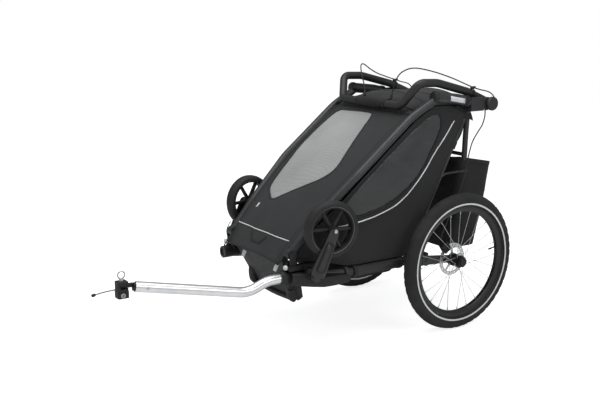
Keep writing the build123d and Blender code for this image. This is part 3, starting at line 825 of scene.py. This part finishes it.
thicken(skin("rear_valance", rows, "cover", "upper_frame", loop=False), 1.4)

PAD_VOXEL = 0.005
PAD_PRESSURE = 4.0
PAD_REACH = 0.006
SIM_FRAMES = 20


def cushion(name, centre, size, turn, look, folds):
    """A rounded block with a pillowed face and stitched grooves across it."""
    rings = []
    rows = 26
    for row in range(rows + 1):
        v = -1 + 2 * row / rows
        shrink = max(0.02, 1 - abs(v) ** 6) ** 0.5
        groove = 1 - 0.34 * max(0, 1 - abs(math.sin(math.pi * folds * (v + 1) / 2)) * 4)
        ring = []
        for across, out in oval_section(size[0], size[2], 3.2, 44):
            dimple = 1 + 0.10 * (1 - (2 * across / size[0]) ** 2)
            high = out * shrink * groove * dimple
            point = Vector((across * (0.94 + 0.06 * shrink), v * size[1] / 2, high))
            point.z += wrinkle(point.x, point.y, out, 42, 1.6, 9)
            ring.append(Vector(centre) + turn @ point)
        rings.append(ring)
    return skin(name, rings, look)


def shown_mesh(thing):
    return bpy.data.meshes.new_from_object(thing.evaluated_get(bpy.context.evaluated_depsgraph_get()))


def stuffed(name, centre, size, turn, look, folds):
    """A cushion that the cloth solver swells between its stitched seams."""
    thing = cushion(name, centre, size, turn, look, folds)
    scene = bpy.context.scene
    even = thing.modifiers.new("Even mesh", "REMESH")
    even.mode = "VOXEL"
    even.voxel_size = PAD_VOXEL
    even.use_smooth_shade = True
    mesh = shown_mesh(thing)
    thing.modifiers.clear()
    thing.data = mesh
    before = [vertex.co.copy() for vertex in mesh.vertices]
    stitched = []
    for index, place in enumerate(before):
        along = (turn.transposed() @ (place - mm(*centre))).y / (size[1] / 1000) + 0.5
        if abs(math.sin(math.pi * folds * along)) < 0.12 or along < 0.03 or along > 0.97:
            stitched.append(index)
    pins = thing.vertex_groups.new(name="stitches")
    pins.add(stitched, 1.0, "REPLACE")
    solver = thing.modifiers.new("Cloth", "CLOTH")
    solver.settings.quality = 5
    solver.settings.mass = 0.15
    solver.settings.tension_stiffness = 12
    solver.settings.compression_stiffness = 12
    solver.settings.bending_stiffness = 0.8
    solver.settings.use_pressure = True
    solver.settings.uniform_pressure_force = PAD_PRESSURE
    solver.settings.vertex_group_mass = "stitches"
    solver.settings.effector_weights.gravity = 0
    solver.point_cache.frame_start = 1
    solver.point_cache.frame_end = SIM_FRAMES
    for moment in range(1, SIM_FRAMES + 1):
        scene.frame_set(moment)
    after = [vertex.co.copy() for vertex in shown_mesh(thing).vertices]
    thing.modifiers.clear()
    for vertex, start, end in zip(mesh.vertices, before, after):
        move = end - start
        vertex.co = start + move * min(1, PAD_REACH / max(move.length, 1e-9))
    scene.frame_set(1)
    finer = thing.modifiers.new("Smoother", "SUBSURF")
    finer.levels = finer.render_levels = 1
    return thing


seat_pad = stuffed("seat_pad", (0, -292, 318), (352, 246, 34), Matrix.Identity(3), "seat", 3)
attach(seat_pad, "chassis")
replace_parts(seat_pad, "seat_cushion")
BACK_TURN = Matrix.Rotation(math.radians(60.5), 3, "X")
back_pad = standing(stuffed("seat_back_pad", (0, -76, 536), (330, 392, 24), BACK_TURN, "seat", 5))
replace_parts(back_pad, "seat_back")
for side, sign in SIDES:
    at = (sign * 158, -95, 536)
    bolster = stuffed(f"seat_bolster_{side}", at, (40, 380, 40), BACK_TURN, "seat_side", 4)
    standing(bolster)


def strap(name, points, width, thickness, outwards, step=8):
    """A flat piece of belt along a smooth line."""
    line = curve_through(points, step)
    return standing(swept(name, line, oval_section(width, thickness), "strap", outwards=outwards))


BACK_OUT = (0, -0.87, 0.5)
for side, sign in SIDES:
    way = on_side([(40, -58, 614), (42, -122, 500), (36, -188, 404), (26, -236, 378)], sign)
    strap(f"shoulder_strap_{side}", way, 30, 2.4, BACK_OUT)
    pad = swept(f"shoulder_pad_{side}", curve_through(way)[3:17], oval_section(44, 11), "seat_side",
                outwards=BACK_OUT, size=lambda t: 1 - 0.25 * abs(2 * t - 1) ** 4)
    standing(pad)
    way = on_side([(150, -180, 352), (108, -214, 360), (56, -240, 374)], sign)
    strap(f"lap_strap_{side}", way, 26, 2.2, (0, -0.3, 1))
strap("crotch_strap", [(0, -262, 338), (0, -256, 352), (0, -246, 368)], 28, 2.2, (0, -1, 0.4), 5)
BUCKLE_TURN = Matrix.Rotation(math.radians(28), 3, "X")
buckle = standing(block("belt_buckle", (0, -246, 374), (54, 14, 40), "plastic", None, BUCKLE_TURN, 4))
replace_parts(buckle, "harness")

# ---- floor tub and rear bag -----------------------------------------------------------------
BAG_MIDDLE = 166
BAG_FOOT = 246
CORNER_POWER = 9.0


def box_ring(half_x, front, rear, z_front, z_rear, sag=0.0):
    """A rounded rectangle of points in plan, between two heights."""
    middle, half_y = (front + rear) / 2, (rear - front) / 2
    ring = []
    for index in range(72):
        turn = 2 * math.pi * (index + 0.5) / 72
        c, s = math.cos(turn), math.sin(turn)
        reach = (abs(c) ** CORNER_POWER + abs(s) ** CORNER_POWER) ** (-1 / CORNER_POWER)
        x, t = half_x * reach * c, reach * s
        z = z_front + (z_rear - z_front) * (t + 1) / 2
        if abs(t) > 0.9:
            z -= sag * math.cos(math.pi / 2 * min(1, abs(x) / half_x))
        ring.append(Vector((x, middle + half_y * t, z)))
    return ring


def collapsing(thing):
    """Bag cloth, carried by the chassis, on a mesh of its own."""
    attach(thing, "chassis")
    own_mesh(thing)
    return thing


rings = []
for step in range(25):
    t = step / 24
    belly = math.sin(math.pi * t)
    ring = box_ring((140 + 48 * t) * (1 + 0.02 * belly), 96 - 8 * t, 236 + 25 * t + 3 * belly,
                    BAG_FOOT + 354 * t, BAG_FOOT + 320 * t, sag=16 * t ** 3)
    for point in ring:
        slack = Vector((wrinkle(*point, 70, 5, 2), wrinkle(*point, 55, 4, 7), 0))
        point += slack * math.sin(math.pi * min(1, t * 1.1))
    rings.append(ring)
bottom = []
for k in (0.05, 0.4, 0.8):
    ring = [Vector((p.x * k, BAG_MIDDLE + (p.y - BAG_MIDDLE) * k, p.z - 12 * (1 - k))) for p in rings[0]]
    bottom.append(ring)
bag = thicken(skin("bag_shell", bottom + rings, "bag_cloth", caps=False), 2.2)
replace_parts(collapsing(bag), "rear_bag")
rim_line = [point + Vector((0, 0, 1)) for point in rings[-1]]
outward = [Vector((point.x, point.y - 176, 0)) for point in rim_line]
hem = swept("bag_hem", rim_line, oval_section(16, 5), "trim_cloth",
            outwards=lambda index: outward[index], closed=True)
collapsing(hem)
for index, x in enumerate((-96, 96)):
    line = curve_through([(x, 235, 262), (x * 1.1, 252, 400), (x * 1.2, 262, 556)], 14)
    collapsing(swept(f"bag_seam_{index}", line, oval_section(6, 2.4), "trim_cloth", outwards=(0, 1, 0)))

TUB_STEPS = [
    (149, -378, -172, 212), (150, -379, -171, 229), (156, -390, -165, 234), (188, -470, -154, 236),
    (193, -480, -151, 244), (194, -482, -150, 300),
]
tub_rings = [box_ring(k * 146, -272 - k * 102, -272 + k * 96, 207, 207) for k in (0.05, 0.5, 0.9, 1)]
tub_rings += [box_ring(half, front, rear, z, z) for half, front, rear, z in TUB_STEPS]
tub = thicken(skin("floor_cloth", tub_rings, "side_cloth", "chassis", caps=False), 2.0)
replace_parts(tub, "floor_tub")

# ---- road wheels ----------------------------------------------------------------------------
HALF_TRACK = 298
HUB_Z = AXLE_Z * 1000
TYRE_HALF = 23.5
BEAD_R = 204.5
TREAD_BLOCKS = 48
SHOULDER = (22, 62)
SPOKES = 24
RIM_PROFILE = [
    (-12, 204), (-12, 198), (-10.4, 190), (-7, 184.5), (0, 183), (7, 184.5), (10.4, 190), (12, 198),
    (12, 204), (9.5, 204), (9, 196), (0, 190), (-9, 196), (-9.5, 204),
]
STRIPE = [(22.6, 210.5), (23.2, 212), (23.4, 215), (23.0, 216.5), (21.5, 216), (21.5, 211)]
NIPPLE = [(0, 1.9), (9, 1.7), (9.5, 1.1), (11, 1.0)]
VALVE = [(0, 3.2), (4, 3.2), (4, 2.6), (22, 2.6), (22, 3.4), (32, 3.1), (34, 2)]
HUB_CAP = [(0, 15.2), (1.5, 15.6), (5, 15.4), (8, 14.4), (10.2, 11.6), (10.8, 8.6), (10.2, 8.0), (10.2, 0.2)]
FACES = (("inner", -1), ("outer", 1))


def facing_side(profile, sign):
    """A profile turned to point along +X or -X."""
    return [(sign * along, radius) for along, radius in profile]


def tyre_mesh(name, sign, body):
    """A round tyre with a slick crown, shoulder blocks and a flat bead."""
    rings = []
    segments = TREAD_BLOCKS * 4
    for index in range(segments):
        turn = 2 * math.pi * index / segments
        section = []
        for angle in range(-138, 139, 6):
            groove = 0.0
            if SHOULDER[0] < abs(angle) < SHOULDER[1] and (index + (2 if angle > 0 else 0)) % 4 == 0:
                groove = 1.6
            if abs(angle) in (12, 18):
                groove = 1.2
            reach = TYRE_HALF - groove
            a = math.radians(angle)
            section.append((reach * math.sin(a), WHEEL_R * 1000 - TYRE_HALF + reach * math.cos(a)))
        section += [(x, BEAD_R) for x in (11, 4, -4, -11)]
        c, s = math.cos(turn), math.sin(turn)
        ring = [(HALF_TRACK + x, radius * c, HUB_Z + radius * s) for x, radius in section]
        rings.append([Vector(point) for point in on_side(ring, sign)])
    return skin(name, rings, "tyre", body, endless=True, sharp=30)


for side, sign in SIDES:
    body = f"wheel_{side}"
    centre = Vector((sign * HALF_TRACK, 0, HUB_Z))
    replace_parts(tyre_mesh(f"tyre_{side}_rubber", sign, body), f"tyre_{side}")
    hoop = lathe(f"rim_{side}_hoop", RIM_PROFILE, centre, "rim", body, segments=144, endless=True)
    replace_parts(hoop, f"rim_{side}")
    for where, face in FACES:
        stripe = facing_side(STRIPE, sign * face)
        lathe(f"tyre_{side}_stripe_{where}", stripe, centre, "reflective", body, segments=144, endless=True)
    for count in range(SPOKES):
        turn = 2 * math.pi * count / SPOKES
        out = Vector((0, math.cos(turn), math.sin(turn)))
        lathe(f"nipple_{side}_{count}", NIPPLE, centre + out * 183.4, "steel", body, axis=-out, segments=10)
    out = Vector((0, math.cos(0.15), math.sin(0.15)))
    lathe(f"valve_{side}", VALVE, centre + out * 183.5, "plastic", body, axis=-out, segments=16)
    cap = facing_side(HUB_CAP, sign)
    button = f"hub_button_{side}"
    knob = lathe(f"wheel_button_{side}", cap, (sign * 315.6, 0, HUB_Z), "plastic", button, segments=48)
    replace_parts(knob, button)

# ---- stroller wheels and their arms ---------------------------------------------------------
CASTER_TYRE = [
    (-20, 79), (-20.5, 84), (-18, 90.5), (-12, 94.6), (-4, 96), (4, 96), (12, 94.6), (18, 90.5), (20.5, 84),
    (20, 79), (13, 77.4), (-13, 77.4),
]
CASTER_RIM = [
    (-13, 77.6), (-15.5, 77.4), (-16, 73), (-12, 70.2), (12, 70.2), (16, 73), (15.5, 77.4), (13, 77.6),
]
# A thin ring at each face of the small rim, coloured light grey as a painted highlight.
CASTER_HIGHLIGHT_LIP = [(16.4, 76.4), (17.6, 77.6), (17.6, 79.4), (16.2, 79.6)]
CASTER_HUB = [(-19, 9), (-19, 13.2), (-17, 14.4), (17, 14.4), (20.5, 13), (20.5, 9)]
CASTER_AXLE = (62, 150)
ARM_BLADE = [
    (-6, 20, 22), (-2, 25, 25), (14, 26.5, 22), (58, 23.5, 17), (110, 19, 13.4), (140, 17.5, 12.4),
    (150, 16.5, 12), (158, 12, 11), (163, 4, 8),
]
ARM_BOLT = [(0, 6.4), (1.6, 6.2), (2.2, 5.2), (2.2, 3.0), (0.6, 2.8), (0.6, 0.1)]
ARM_AXLE = [(0, 4.6), (46, 4.6)]
ARM_BOSS = [(0, 14), (2, 15), (20, 15), (24, 12), (25, 6), (25, 0.2)]
ARM_START = Vector((69, 2, 8))
ARM_WAY = (Vector((70, 62, 150)) - ARM_START).normalized()
ARM_ACROSS = Vector((0, ARM_WAY.z, -ARM_WAY.y))
STOW = {}
for _, sign in SIDES:
    toe_out = Matrix.Rotation(math.radians(-sign * 8), 4, "Z")
    STOW[sign] = Matrix.Translation((sign * 218, -600, 287)) @ toe_out


def stowed(sign, x, y, z):
    """A point given from the arm's pivot, with x outwards along the pivot."""
    return STOW[sign] @ Vector((sign * x, y, z))


def on_arm(sign, along, across, out):
    """A point of the arm's blade."""
    return stowed(sign, *(ARM_START + ARM_WAY * along + ARM_ACROSS * across + Vector((out, 0, 0))))


for side, sign in SIDES:
    body = f"stroller_wheel_{side}"
    axis = STOW[sign].to_3x3() @ Vector((sign, 0, 0))
    centre = stowed(sign, 41, *CASTER_AXLE)
    small = lathe(f"small_tyre_{side}", CASTER_TYRE, centre, "small_tyre", body, axis, 120, True)
    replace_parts(small, body)
    lathe(f"small_rim_{side}", CASTER_RIM, centre, "plastic", body, axis, 96, True)
    # Light grey lips on both rim faces: a painted highlight on the rim's edge.
    for where, face in FACES:
        lip = facing_side(CASTER_HIGHLIGHT_LIP, face)
        lathe(f"small_rim_lip_{side}_{where}", lip, centre, "lip", body, axis, 96, True)
    lathe(f"small_hub_{side}", CASTER_HUB, centre, "plastic", body, axis, 48, True)
    up = Vector((0, 0, 1))
    across = axis.cross(up).normalized()
    for count in range(6):
        turn = math.radians(60 * count + 2)
        out = across * math.cos(turn) + up * math.sin(turn)
        line = [centre + out * radius for radius in (12, 20, 34, 50, 64, 72)]
        swept(f"small_spoke_{side}_{count}", line, oval_section(12, 14, 3, 16), "plastic", body,
              outwards=axis, size=lambda t: 1.15 - 0.5 * t + 0.35 * t * t)
    body = f"wheel_arm_{side}"
    rings = []
    for along, half, thick in ARM_BLADE:
        lean = (thick - 12) * -0.3
        section = oval_section(2 * half, thick, 5, 28)
        rings.append([on_arm(sign, along, u, v * 0.5 + lean) for u, v in section])
    arm = soften(skin(f"stroller_arm_{side}", rings, "grey_plastic", body), 1.2, 2)
    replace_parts(arm, body)
    panel = evenly(rounded([(-14, 12), (14, 12), (11.5, 112), (-11.5, 112)], 6), 4)
    line = [on_arm(sign, point.y, point.x, 6.2) for point in panel]
    swept(f"arm_panel_line_{side}", line, circle_section(0.9, 8), "plastic", body, closed=True)
    inset = [[on_arm(sign, 13 + 98 * v, (13 - 2.4 * v) * u, 6.3) for u in (-1, 0, 1)]
             for v in (0, 0.25, 0.5, 0.75, 1)]
    thicken(skin(f"arm_panel_{side}", inset, "grey_plastic", body, loop=False), 0.6)
    lathe(f"arm_bolt_{side}", ARM_BOLT, stowed(sign, 75.6, *CASTER_AXLE), "steel", body, axis, 24)
    lathe(f"arm_axle_{side}", ARM_AXLE, stowed(sign, 22, *CASTER_AXLE), "steel", body, axis, 24)
    lathe(f"arm_boss_{side}", ARM_BOSS, stowed(sign, 44.6, 0, 0), "grey_plastic", body, axis, 48)

# ---- nose -----------------------------------------------------------------------------------
NOSE_DOWN = Vector((0, 74, 161)).normalized()
NOSE_OUT = Vector((0, -161, 74)).normalized()
NOSE_FOOT = [(-600, 170), (-608, 180), (-613, 200), (-613, 222), (-608, 240)]
NOSE_LIP = [(-126, -596, 169), (-60, -600, 167), (0, -602, 166), (60, -600, 167), (126, -596, 169)]
PLATE = [(-9, -17), (9, -17), (12.5, 17), (-12.5, 17)]
ROUND_REFLECTOR = [(0, 8.2), (6, 8.2), (7.4, 7.4), (7.8, 6.2), (8.6, 5.6), (8.8, 0.1)]
ELASTIC = {
    "outer": [(200, -660, 386), (190, -682, 358), (166, -688, 328), (132, -682, 302)],
    "inner": [(140, -672, 372), (158, -686, 346), (178, -688, 322), (198, -688, 303)],
}


def nose_point(u, v, lift=0.0):
    """u runs from side to side and v from the bottom edge to the top."""
    half = 139 + 47 * v
    bulge = 5 * (1 - u * u) * math.sin(math.pi * min(1, v + 0.1))
    z = 168 + 161 * v
    y = -593 - 74 * v - bulge + wrinkle(half * u, 0, z, 60, 1.2, 4)
    curl = 10 * max(0, abs(u) - 0.93) / 0.07
    return Vector((half * u, y + curl - lift * 0.91, z - lift * 0.42))


rows = [[nose_point(u / 24, v / 16) for u in range(-24, 25)] for v in range(17)]
nose = thicken(skin("nose_skin", rows, "nose", "chassis", loop=False), 3)
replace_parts(nose, "nose_shell")
for side, sign in SIDES:
    cheek = []
    for v in range(13):
        back = Vector((sign * -5, 16 + 16 * v / 12, 6))
        cheek.append([nose_point(sign, v / 12) + back * w for w in (0, 0.25, 0.5, 0.75, 1)])
    thicken(skin(f"nose_cheek_{side}", cheek, "nose", "chassis", loop=False), 3)
    line = [nose_point(sign * 0.985, v / 12, 2) for v in range(0, 13)]
    swept(f"nose_side_trim_{side}", line, circle_section(3.4), "trim_cloth", "chassis")
    foot_x = 134 if sign > 0 else -118
    foot = curve_through([(foot_x, y, z) for y, z in NOSE_FOOT], 5)
    swept(f"nose_foot_{side}", foot, oval_section(32, 34, 3, 28), "plastic", "chassis",
          outwards=(0, -1, 0.2), size=lambda t: min(1, 0.62 + 1.5 * min(t, 1 - t)))
lip = curve_through(NOSE_LIP)
swept("nose_lip", lip, oval_section(16, 20, 3), "nose", "chassis", outwards=(0, -1, 0))
line = [nose_point(u / 30, 0.99, 2) for u in range(-30, 31)]
swept("nose_top_trim", line, oval_section(9, 4), "trim_cloth", "chassis", outwards=(0, -1, 0.4))
for side, sign in SIDES:
    outline = rounded(PLATE, 2.5)
    middle = Vector((sign * 108, -655.5, 290))
    rings = []
    for out, k in ((0, 1.0), (2.4, 1.0), (3.0, 0.95)):
        face = middle + NOSE_OUT * out
        rings.append([face + Vector((p.x * k, 0, 0)) + NOSE_DOWN * p.y * k for p in outline])
    plate = skin(f"nose_reflector_{side}", rings, "reflective", "chassis")
    lathe(f"corner_reflector_{side}", ROUND_REFLECTOR, (sign * 203, -677, 312), "white_plate", "chassis",
          (0, -1, 0), 40)
    if sign > 0:
        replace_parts(plate, "nose_reflectors")
    for name, places in ELASTIC.items():
        elastic = pipe(f"elastic_cord_{side}_{name}", on_side(places, sign), 1.5, "elastic")
        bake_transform(elastic)
    hook = on_side([(198, -688, 303), (201, -685, 296), (197, -680, 292)], sign)
    pipe(f"elastic_hook_{side}", hook, 2.4, "plastic", "chassis", step=3)

# ---- corner brackets ------------------------------------------------------------------------
BRACKET = [
    (-668, 214, 276, 30, 40), (-640, 218, 272, 44, 46), (-604, 226, 266, 56, 44), (-560, 234, 258, 54, 40),
    (-520, 238, 256, 46, 38), (-462, 238, 254, 42, 34), (-452, 238, 256, 34, 26),
]
SLEEVE = [(0, 17), (0, 20.5), (4, 22), (10, 22), (16, 20.5), (16, 17)]
for side, sign in SIDES:
    rings = []
    for y, x, z, wide, high in BRACKET:
        rings.append([Vector((sign * (x + u), y, z + v)) for u, v in oval_section(wide, high, 5, 28)])
    soften(skin(f"corner_bracket_{side}", rings, "plastic", "chassis"), 1.5, 2)
    at = (sign * 235, -470, 268)
    lathe(f"bracket_sleeve_{side}", SLEEVE, at, "grey_plastic", "chassis", (0, 1, 0), 48, True)

# ---- frame fittings -------------------------------------------------------------------------
TUBE_CAP = [(-4, 19.2), (-4, 20.6), (6, 20.6), (11, 18), (13, 12), (13.4, 0.2)]
PIVOT_BUTTON = [(0, 24), (2, 25), (9, 25), (12, 23.4), (13, 20.4), (11.4, 18.6), (11.0, 0.2)]
SLIDER = [(-22, 12), (-22, 15), (-8, 16), (22, 15), (22, 12)]
STRUT_WAY = (0, 0.469, 0.883)


def collar(name, half, inner, outer, centre, body, axis, segments=40, endless=False):
    """A plain plastic ring round a tube."""
    profile = [(-half, inner), (-half, outer), (half, outer), (half, inner)]
    return lathe(name, profile, centre, "plastic", body, axis, segments, endless)


for side, sign in SIDES:
    at = (sign * 238, -84, 840)
    lathe(f"top_tube_cap_{side}", TUBE_CAP, at, "plastic", "upper_frame", (0, -0.99, 0.12), 40)
    at = (sign * 238, 58, 819.5)
    collar(f"top_tube_collar_{side}", 6, 19.2, 21.4, at, "upper_frame", (0, -0.97, 0.22))
    patch = []
    for y in (-28, -10, 10, 28, 40):
        patch.append([Vector((sign * (238 + 20.1 * math.cos(a)), y, 829 - 0.19 * y + 20.1 * math.sin(a)))
                      for a in (-0.45, -0.15, 0.15, 0.45)])
    thicken(skin(f"side_patch_{side}", patch, "reflective", "upper_frame", loop=False), 0.5)
    at, disc = (sign * 260.2, 166, 806), f"hub_disc_{side}"
    button = facing_side(PIVOT_BUTTON, sign)
    knob = lathe(f"pivot_button_{side}", button, at, "grey_plastic", disc, segments=64)
    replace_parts(knob, disc)
    line = curve_through(on_side([(226, 30, 800), (226, 62, 770), (224, 52, 700), (226, -8, 640)], sign))
    swept(f"side_webbing_{side}", line, oval_section(16, 2), "strap", "upper_frame", outwards=(sign, 0, 0))
    collar(f"strut_collar_{side}", 13, 12, 14.2, (sign * 222, 20, 664), "rear_frame", STRUT_WAY, 32)
    at = (sign * 222, -124, 393)
    lathe(f"strut_slider_{side}", SLIDER, at, "plastic", "rear_frame", STRUT_WAY, 32)
    for index, y in enumerate((-232, -428)):
        collar(f"rail_collar_{side}_{index}", 7, 18.8, 21, (sign * 235, y, 268), "chassis", (0, 1, 0))

GRIP_AT = (0, -182, 809)
GRIP_RIBS = 24
ribs = [(-61, 15), (-61, 17.6)]
for index in range(GRIP_RIBS):
    at = -58 + index * 5
    ribs += [(at, 18.0), (at + 3, 18.0), (at + 3.6, 17.0), (at + 4.6, 17.0)]
ribs += [(61, 17.6), (61, 15)]
grip = lathe("twist_grip", ribs, GRIP_AT, "grip", "brake_grip", (1, 0, 0), 48, True)
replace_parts(grip, "brake_grip")
GRIP_RING = [(0, 14.6), (0, 17.4), (7, 17.4), (9, 15.8), (9, 14.6)]
for side, sign in SIDES:
    at = (sign * 62.5, *GRIP_AT[1:])
    lathe(f"grip_ring_{side}", GRIP_RING, at, "plastic", "handlebar", (sign, 0, 0), 40, True)

# ---- cables ---------------------------------------------------------------------------------
CABLE_R = 2.2
CABLES = {
    "left": [
        (84, -156, 829.5), (86, -151, 851), (92, -147, 875), (100, -145, 896), (112, -138, 917),
        (130, -120, 932), (146, -102, 936), (160, -74, 932), (179, -26, 919), (197, 30, 899),
        (211, 76, 879), (219, 112, 864),
    ],
    "right": [
        (-68, -156, 829.5), (-72, -154, 850), (-80, -153, 872), (-91, -152, 894), (-103, -148, 914),
        (-116, -140, 931), (-129, -124, 938), (-145, -98, 933), (-164, -58, 915), (-184, -8, 896),
        (-204, 44, 882), (-216, 88, 870), (-219, 112, 864),
    ],
}
CABLE_LOOP = [
    (219, 112, 864), (223, 146, 854), (226, 174, 848), (228, 196, 839), (230, 212, 822), (230, 214, 804),
    (230, 203, 790), (229.5, 186, 782), (229, 168, 779),
]
LOWER_CABLE = [
    (229, 168, 783.3), (231, 167, 758), (234, 152, 726), (236, 128, 700), (237, 104, 668), (237, 90, 628),
    (237, 80, 584), (238, 62, 528), (239, 38, 474), (241, 10, 424), (244, -16, 382), (250, -38, 350),
    (259, -55, 331),
]
BOOT = [(-3, 5.4), (2, 5.4), (9, 4.2), (15, 2.9), (16, 2.2)]
CLIP_TURN = Matrix.Rotation(math.radians(14), 3, "X")
for side, sign in SIDES:
    cable = pipe(f"cable_{side}", CABLES[side], CABLE_R, "cable", "handlebar", step=6)
    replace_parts(cable, f"brake_cable_{side}")
    loop = pipe(f"cable_loop_{side}", on_side(CABLE_LOOP, sign), CABLE_R, "cable", step=6)
    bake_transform(loop)
    lower = pipe(f"lower_cable_{side}", on_side(LOWER_CABLE, sign), CABLE_R, "cable")
    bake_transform(lower)
    if sign > 0:
        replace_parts(lower, "lower_brake_cables")
    start, after = Vector(CABLES[side][0]), Vector(CABLES[side][1])
    at = (sign * 219, 113, 862)
    clip = block(f"cable_clip_{side}", at, (13, 20, 9), "plastic", "handlebar", CLIP_TURN, 3)
    at = (sign * 218, 106, 843.5)
    collar(f"clip_band_{side}", 5, 14.4, 16, at, "handlebar", (0, 0.93, -0.36), endless=True)
    at = (start.x, *GRIP_AT[1:])
    collar(f"boot_band_{side}", 7, 14.4, 16.2, at, "handlebar", (1, 0, 0), endless=True)
    line = [Vector((start.x, -176, 822)), Vector((start.x, -166, 826)), start + Vector((0, 0, -1))]
    swept(f"boot_arm_{side}", line, oval_section(13, 9, 3, 16), "plastic", "handlebar", outwards=(0, 0.3, 1))
    if sign > 0:
        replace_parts(clip, "cable_clips")
    lathe(f"cable_boot_{side}", BOOT, start, "grip", "handlebar", after - start, 20)

# ---- leash ----------------------------------------------------------------------------------
LEASH = [(125, -1235, 316), (125, -1257, 315.5), (124, -1278, 314), (123, -1297, 311)]
LEASH_RADIUS = 2.2
BEAD = [(0, 2.4), (0.5, 4), (3, 4.9), (9.5, 4.9), (12, 4), (12.8, 2.4)]
line = bpy.data.curves.new("hitch_cord", "CURVE")
line.dimensions = "3D"
run = line.splines.new("NURBS")
run.points.add(len(LEASH) - 1)
for point, place in zip(run.points, LEASH):
    point.co = (*mm(*place), 1)
run.order_u = 3
run.use_endpoint_u = True
run.resolution_u = 16
line.bevel_depth = LEASH_RADIUS / 1000
line.bevel_resolution = 5
line.use_fill_caps = True
line.materials.append(LOOK["leash"])
leash = bpy.data.objects.new("hitch_cord", line)
bpy.context.scene.collection.objects.link(leash)
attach(leash, "hitch")
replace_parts(leash, "hitch_leash")
bead_start = Vector(LEASH[-1])
bead_way = (bead_start - Vector(LEASH[-2])).normalized()
bead = lathe("hitch_bead", BEAD, bead_start, "plastic", "hitch", bead_way, 32)
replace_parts(bead, "leash_bead")

# ---- finishes of the CAD nodes that stay in view --------------------------------------------
KEPT = {
    "black_tube": ["side_rails", "front_cross_tube", "axle_beam"],
    "plastic": ["tow_receiver", "tow_lock_pin", "wheel_arm_sockets", "brake_pedal", "tow_plug", "hitch_head",
                "hitch_cup", "hub_left", "hub_right", "caliper_left", "caliper_right"],
    "grey_tube": ["upper_tubes", "rear_struts"],
    "grey_plastic": ["knuckles"],
    "bar_coat": ["handlebar"],
    "silver": ["tow_tube"],
    "steel": ["tow_button", "axle_bushing", "ring_pin"],
    "spoke": ["spokes_left", "spokes_right"],
    "rotor": ["rotor_left", "rotor_right"],
    "alloy": ["swing_arm_left", "swing_arm_right"],
}
CASTINGS = {
    "knuckles": 4.0, "hitch_head": 1.6, "hitch_cup": 2.0, "wheel_arm_sockets": 3.0, "brake_pedal": 2.0,
    "tow_receiver": 1.5, "tow_plug": 1.0, "caliper_left": 2.0, "caliper_right": 2.0, "swing_arm_left": 2.0,
    "swing_arm_right": 2.0, "tow_lock_pin": 1.2,
}
for look, nodes in KEPT.items():
    for node in nodes:
        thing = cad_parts[node]
        thing.data.materials.clear()
        thing.data.materials.append(LOOK[look])
        if node in CASTINGS:
            soften(thing, CASTINGS[node], 2)

# ---- floor, light and camera ----------------------------------------------------------------
bpy.ops.mesh.primitive_plane_add(size=14.0, location=(0, 0, -0.0005))
floor = bpy.context.object
floor.name = "floor"
pale = Shader("studio_floor", (0.9, 0.9, 0.9), 0.9)
pale.rough(pale.noise(3), 0.85, 0.95)
to_camera = pale.node("ShaderNodeLightPath").outputs["Is Camera Ray"]
pale.link(pale.math("MULTIPLY", to_camera, 0.78), pale.surface.inputs["Emission Strength"])
pale.set("Emission Color", (1, 1, 1, 1))
floor.data.materials.append(pale.done())
floor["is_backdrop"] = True

SOFTBOXES = {
    "overhead_softbox": ((0.3, -0.2, 3.4), (0, 0.1, 0.4), 60, 3.2),
    "left_softbox": ((3.4, 0.9, 1.9), (0.1, 0.2, 0.5), 22, 2.2),
    "front_softbox": ((0.6, -3.6, 1.8), (0, 0, 0.5), 14, 2.4),
}
for name, (place, target, power, size) in SOFTBOXES.items():
    light = bpy.data.lights.new(name, "AREA")
    light.energy = power
    light.shape = "RECTANGLE"
    light.size = size
    light.size_y = size * 0.6
    thing = bpy.data.objects.new(name, light)
    thing.location = place
    thing.rotation_euler = (Vector(target) - Vector(place)).to_track_quat("-Z", "Y").to_euler()
    bpy.context.scene.collection.objects.link(thing)

# The camera sees a white wall, and everything else is lit by a dim, slightly blue sky.
world = bpy.data.worlds.new("studio")
world.use_nodes = True
sky = world.node_tree.nodes
backdrop = sky["Background"]
backdrop.inputs["Color"].default_value = (1, 1, 1, 1)
backdrop.inputs["Strength"].default_value = 1.0
fill_light = sky.new("ShaderNodeBackground")
fill_light.inputs["Color"].default_value = (0.96, 0.98, 1.0, 1)
fill_light.inputs["Strength"].default_value = 0.3
seen = sky.new("ShaderNodeLightPath")
chosen = sky.new("ShaderNodeMixShader")
for start, end in (
    (seen.outputs["Is Camera Ray"], chosen.inputs[0]),
    (fill_light.outputs[0], chosen.inputs[1]),
    (backdrop.outputs[0], chosen.inputs[2]),
    (chosen.outputs[0], sky["World Output"].inputs["Surface"]),
):
    world.node_tree.links.new(start, end)
bpy.context.scene.world = world
bpy.context.scene.view_settings.view_transform = "Standard"

sight = bpy.data.cameras.new("front_left_view")
sight.lens = 52.8
sight.sensor_width = 36
eye = bpy.data.objects.new("front_left_view", sight)
eye.location = mm(2536.5, -2162.3, 1136.7)
eye.rotation_mode = "QUATERNION"
eye.rotation_quaternion = Vector((-0.8160, 0.5381, -0.2112)).to_track_quat("-Z", "Y")
bpy.context.scene.collection.objects.link(eye)
bpy.context.scene.camera = eye

built_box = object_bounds()
size = {"cad": [list(corner) for corner in cad_box], "built": [list(corner) for corner in built_box]}
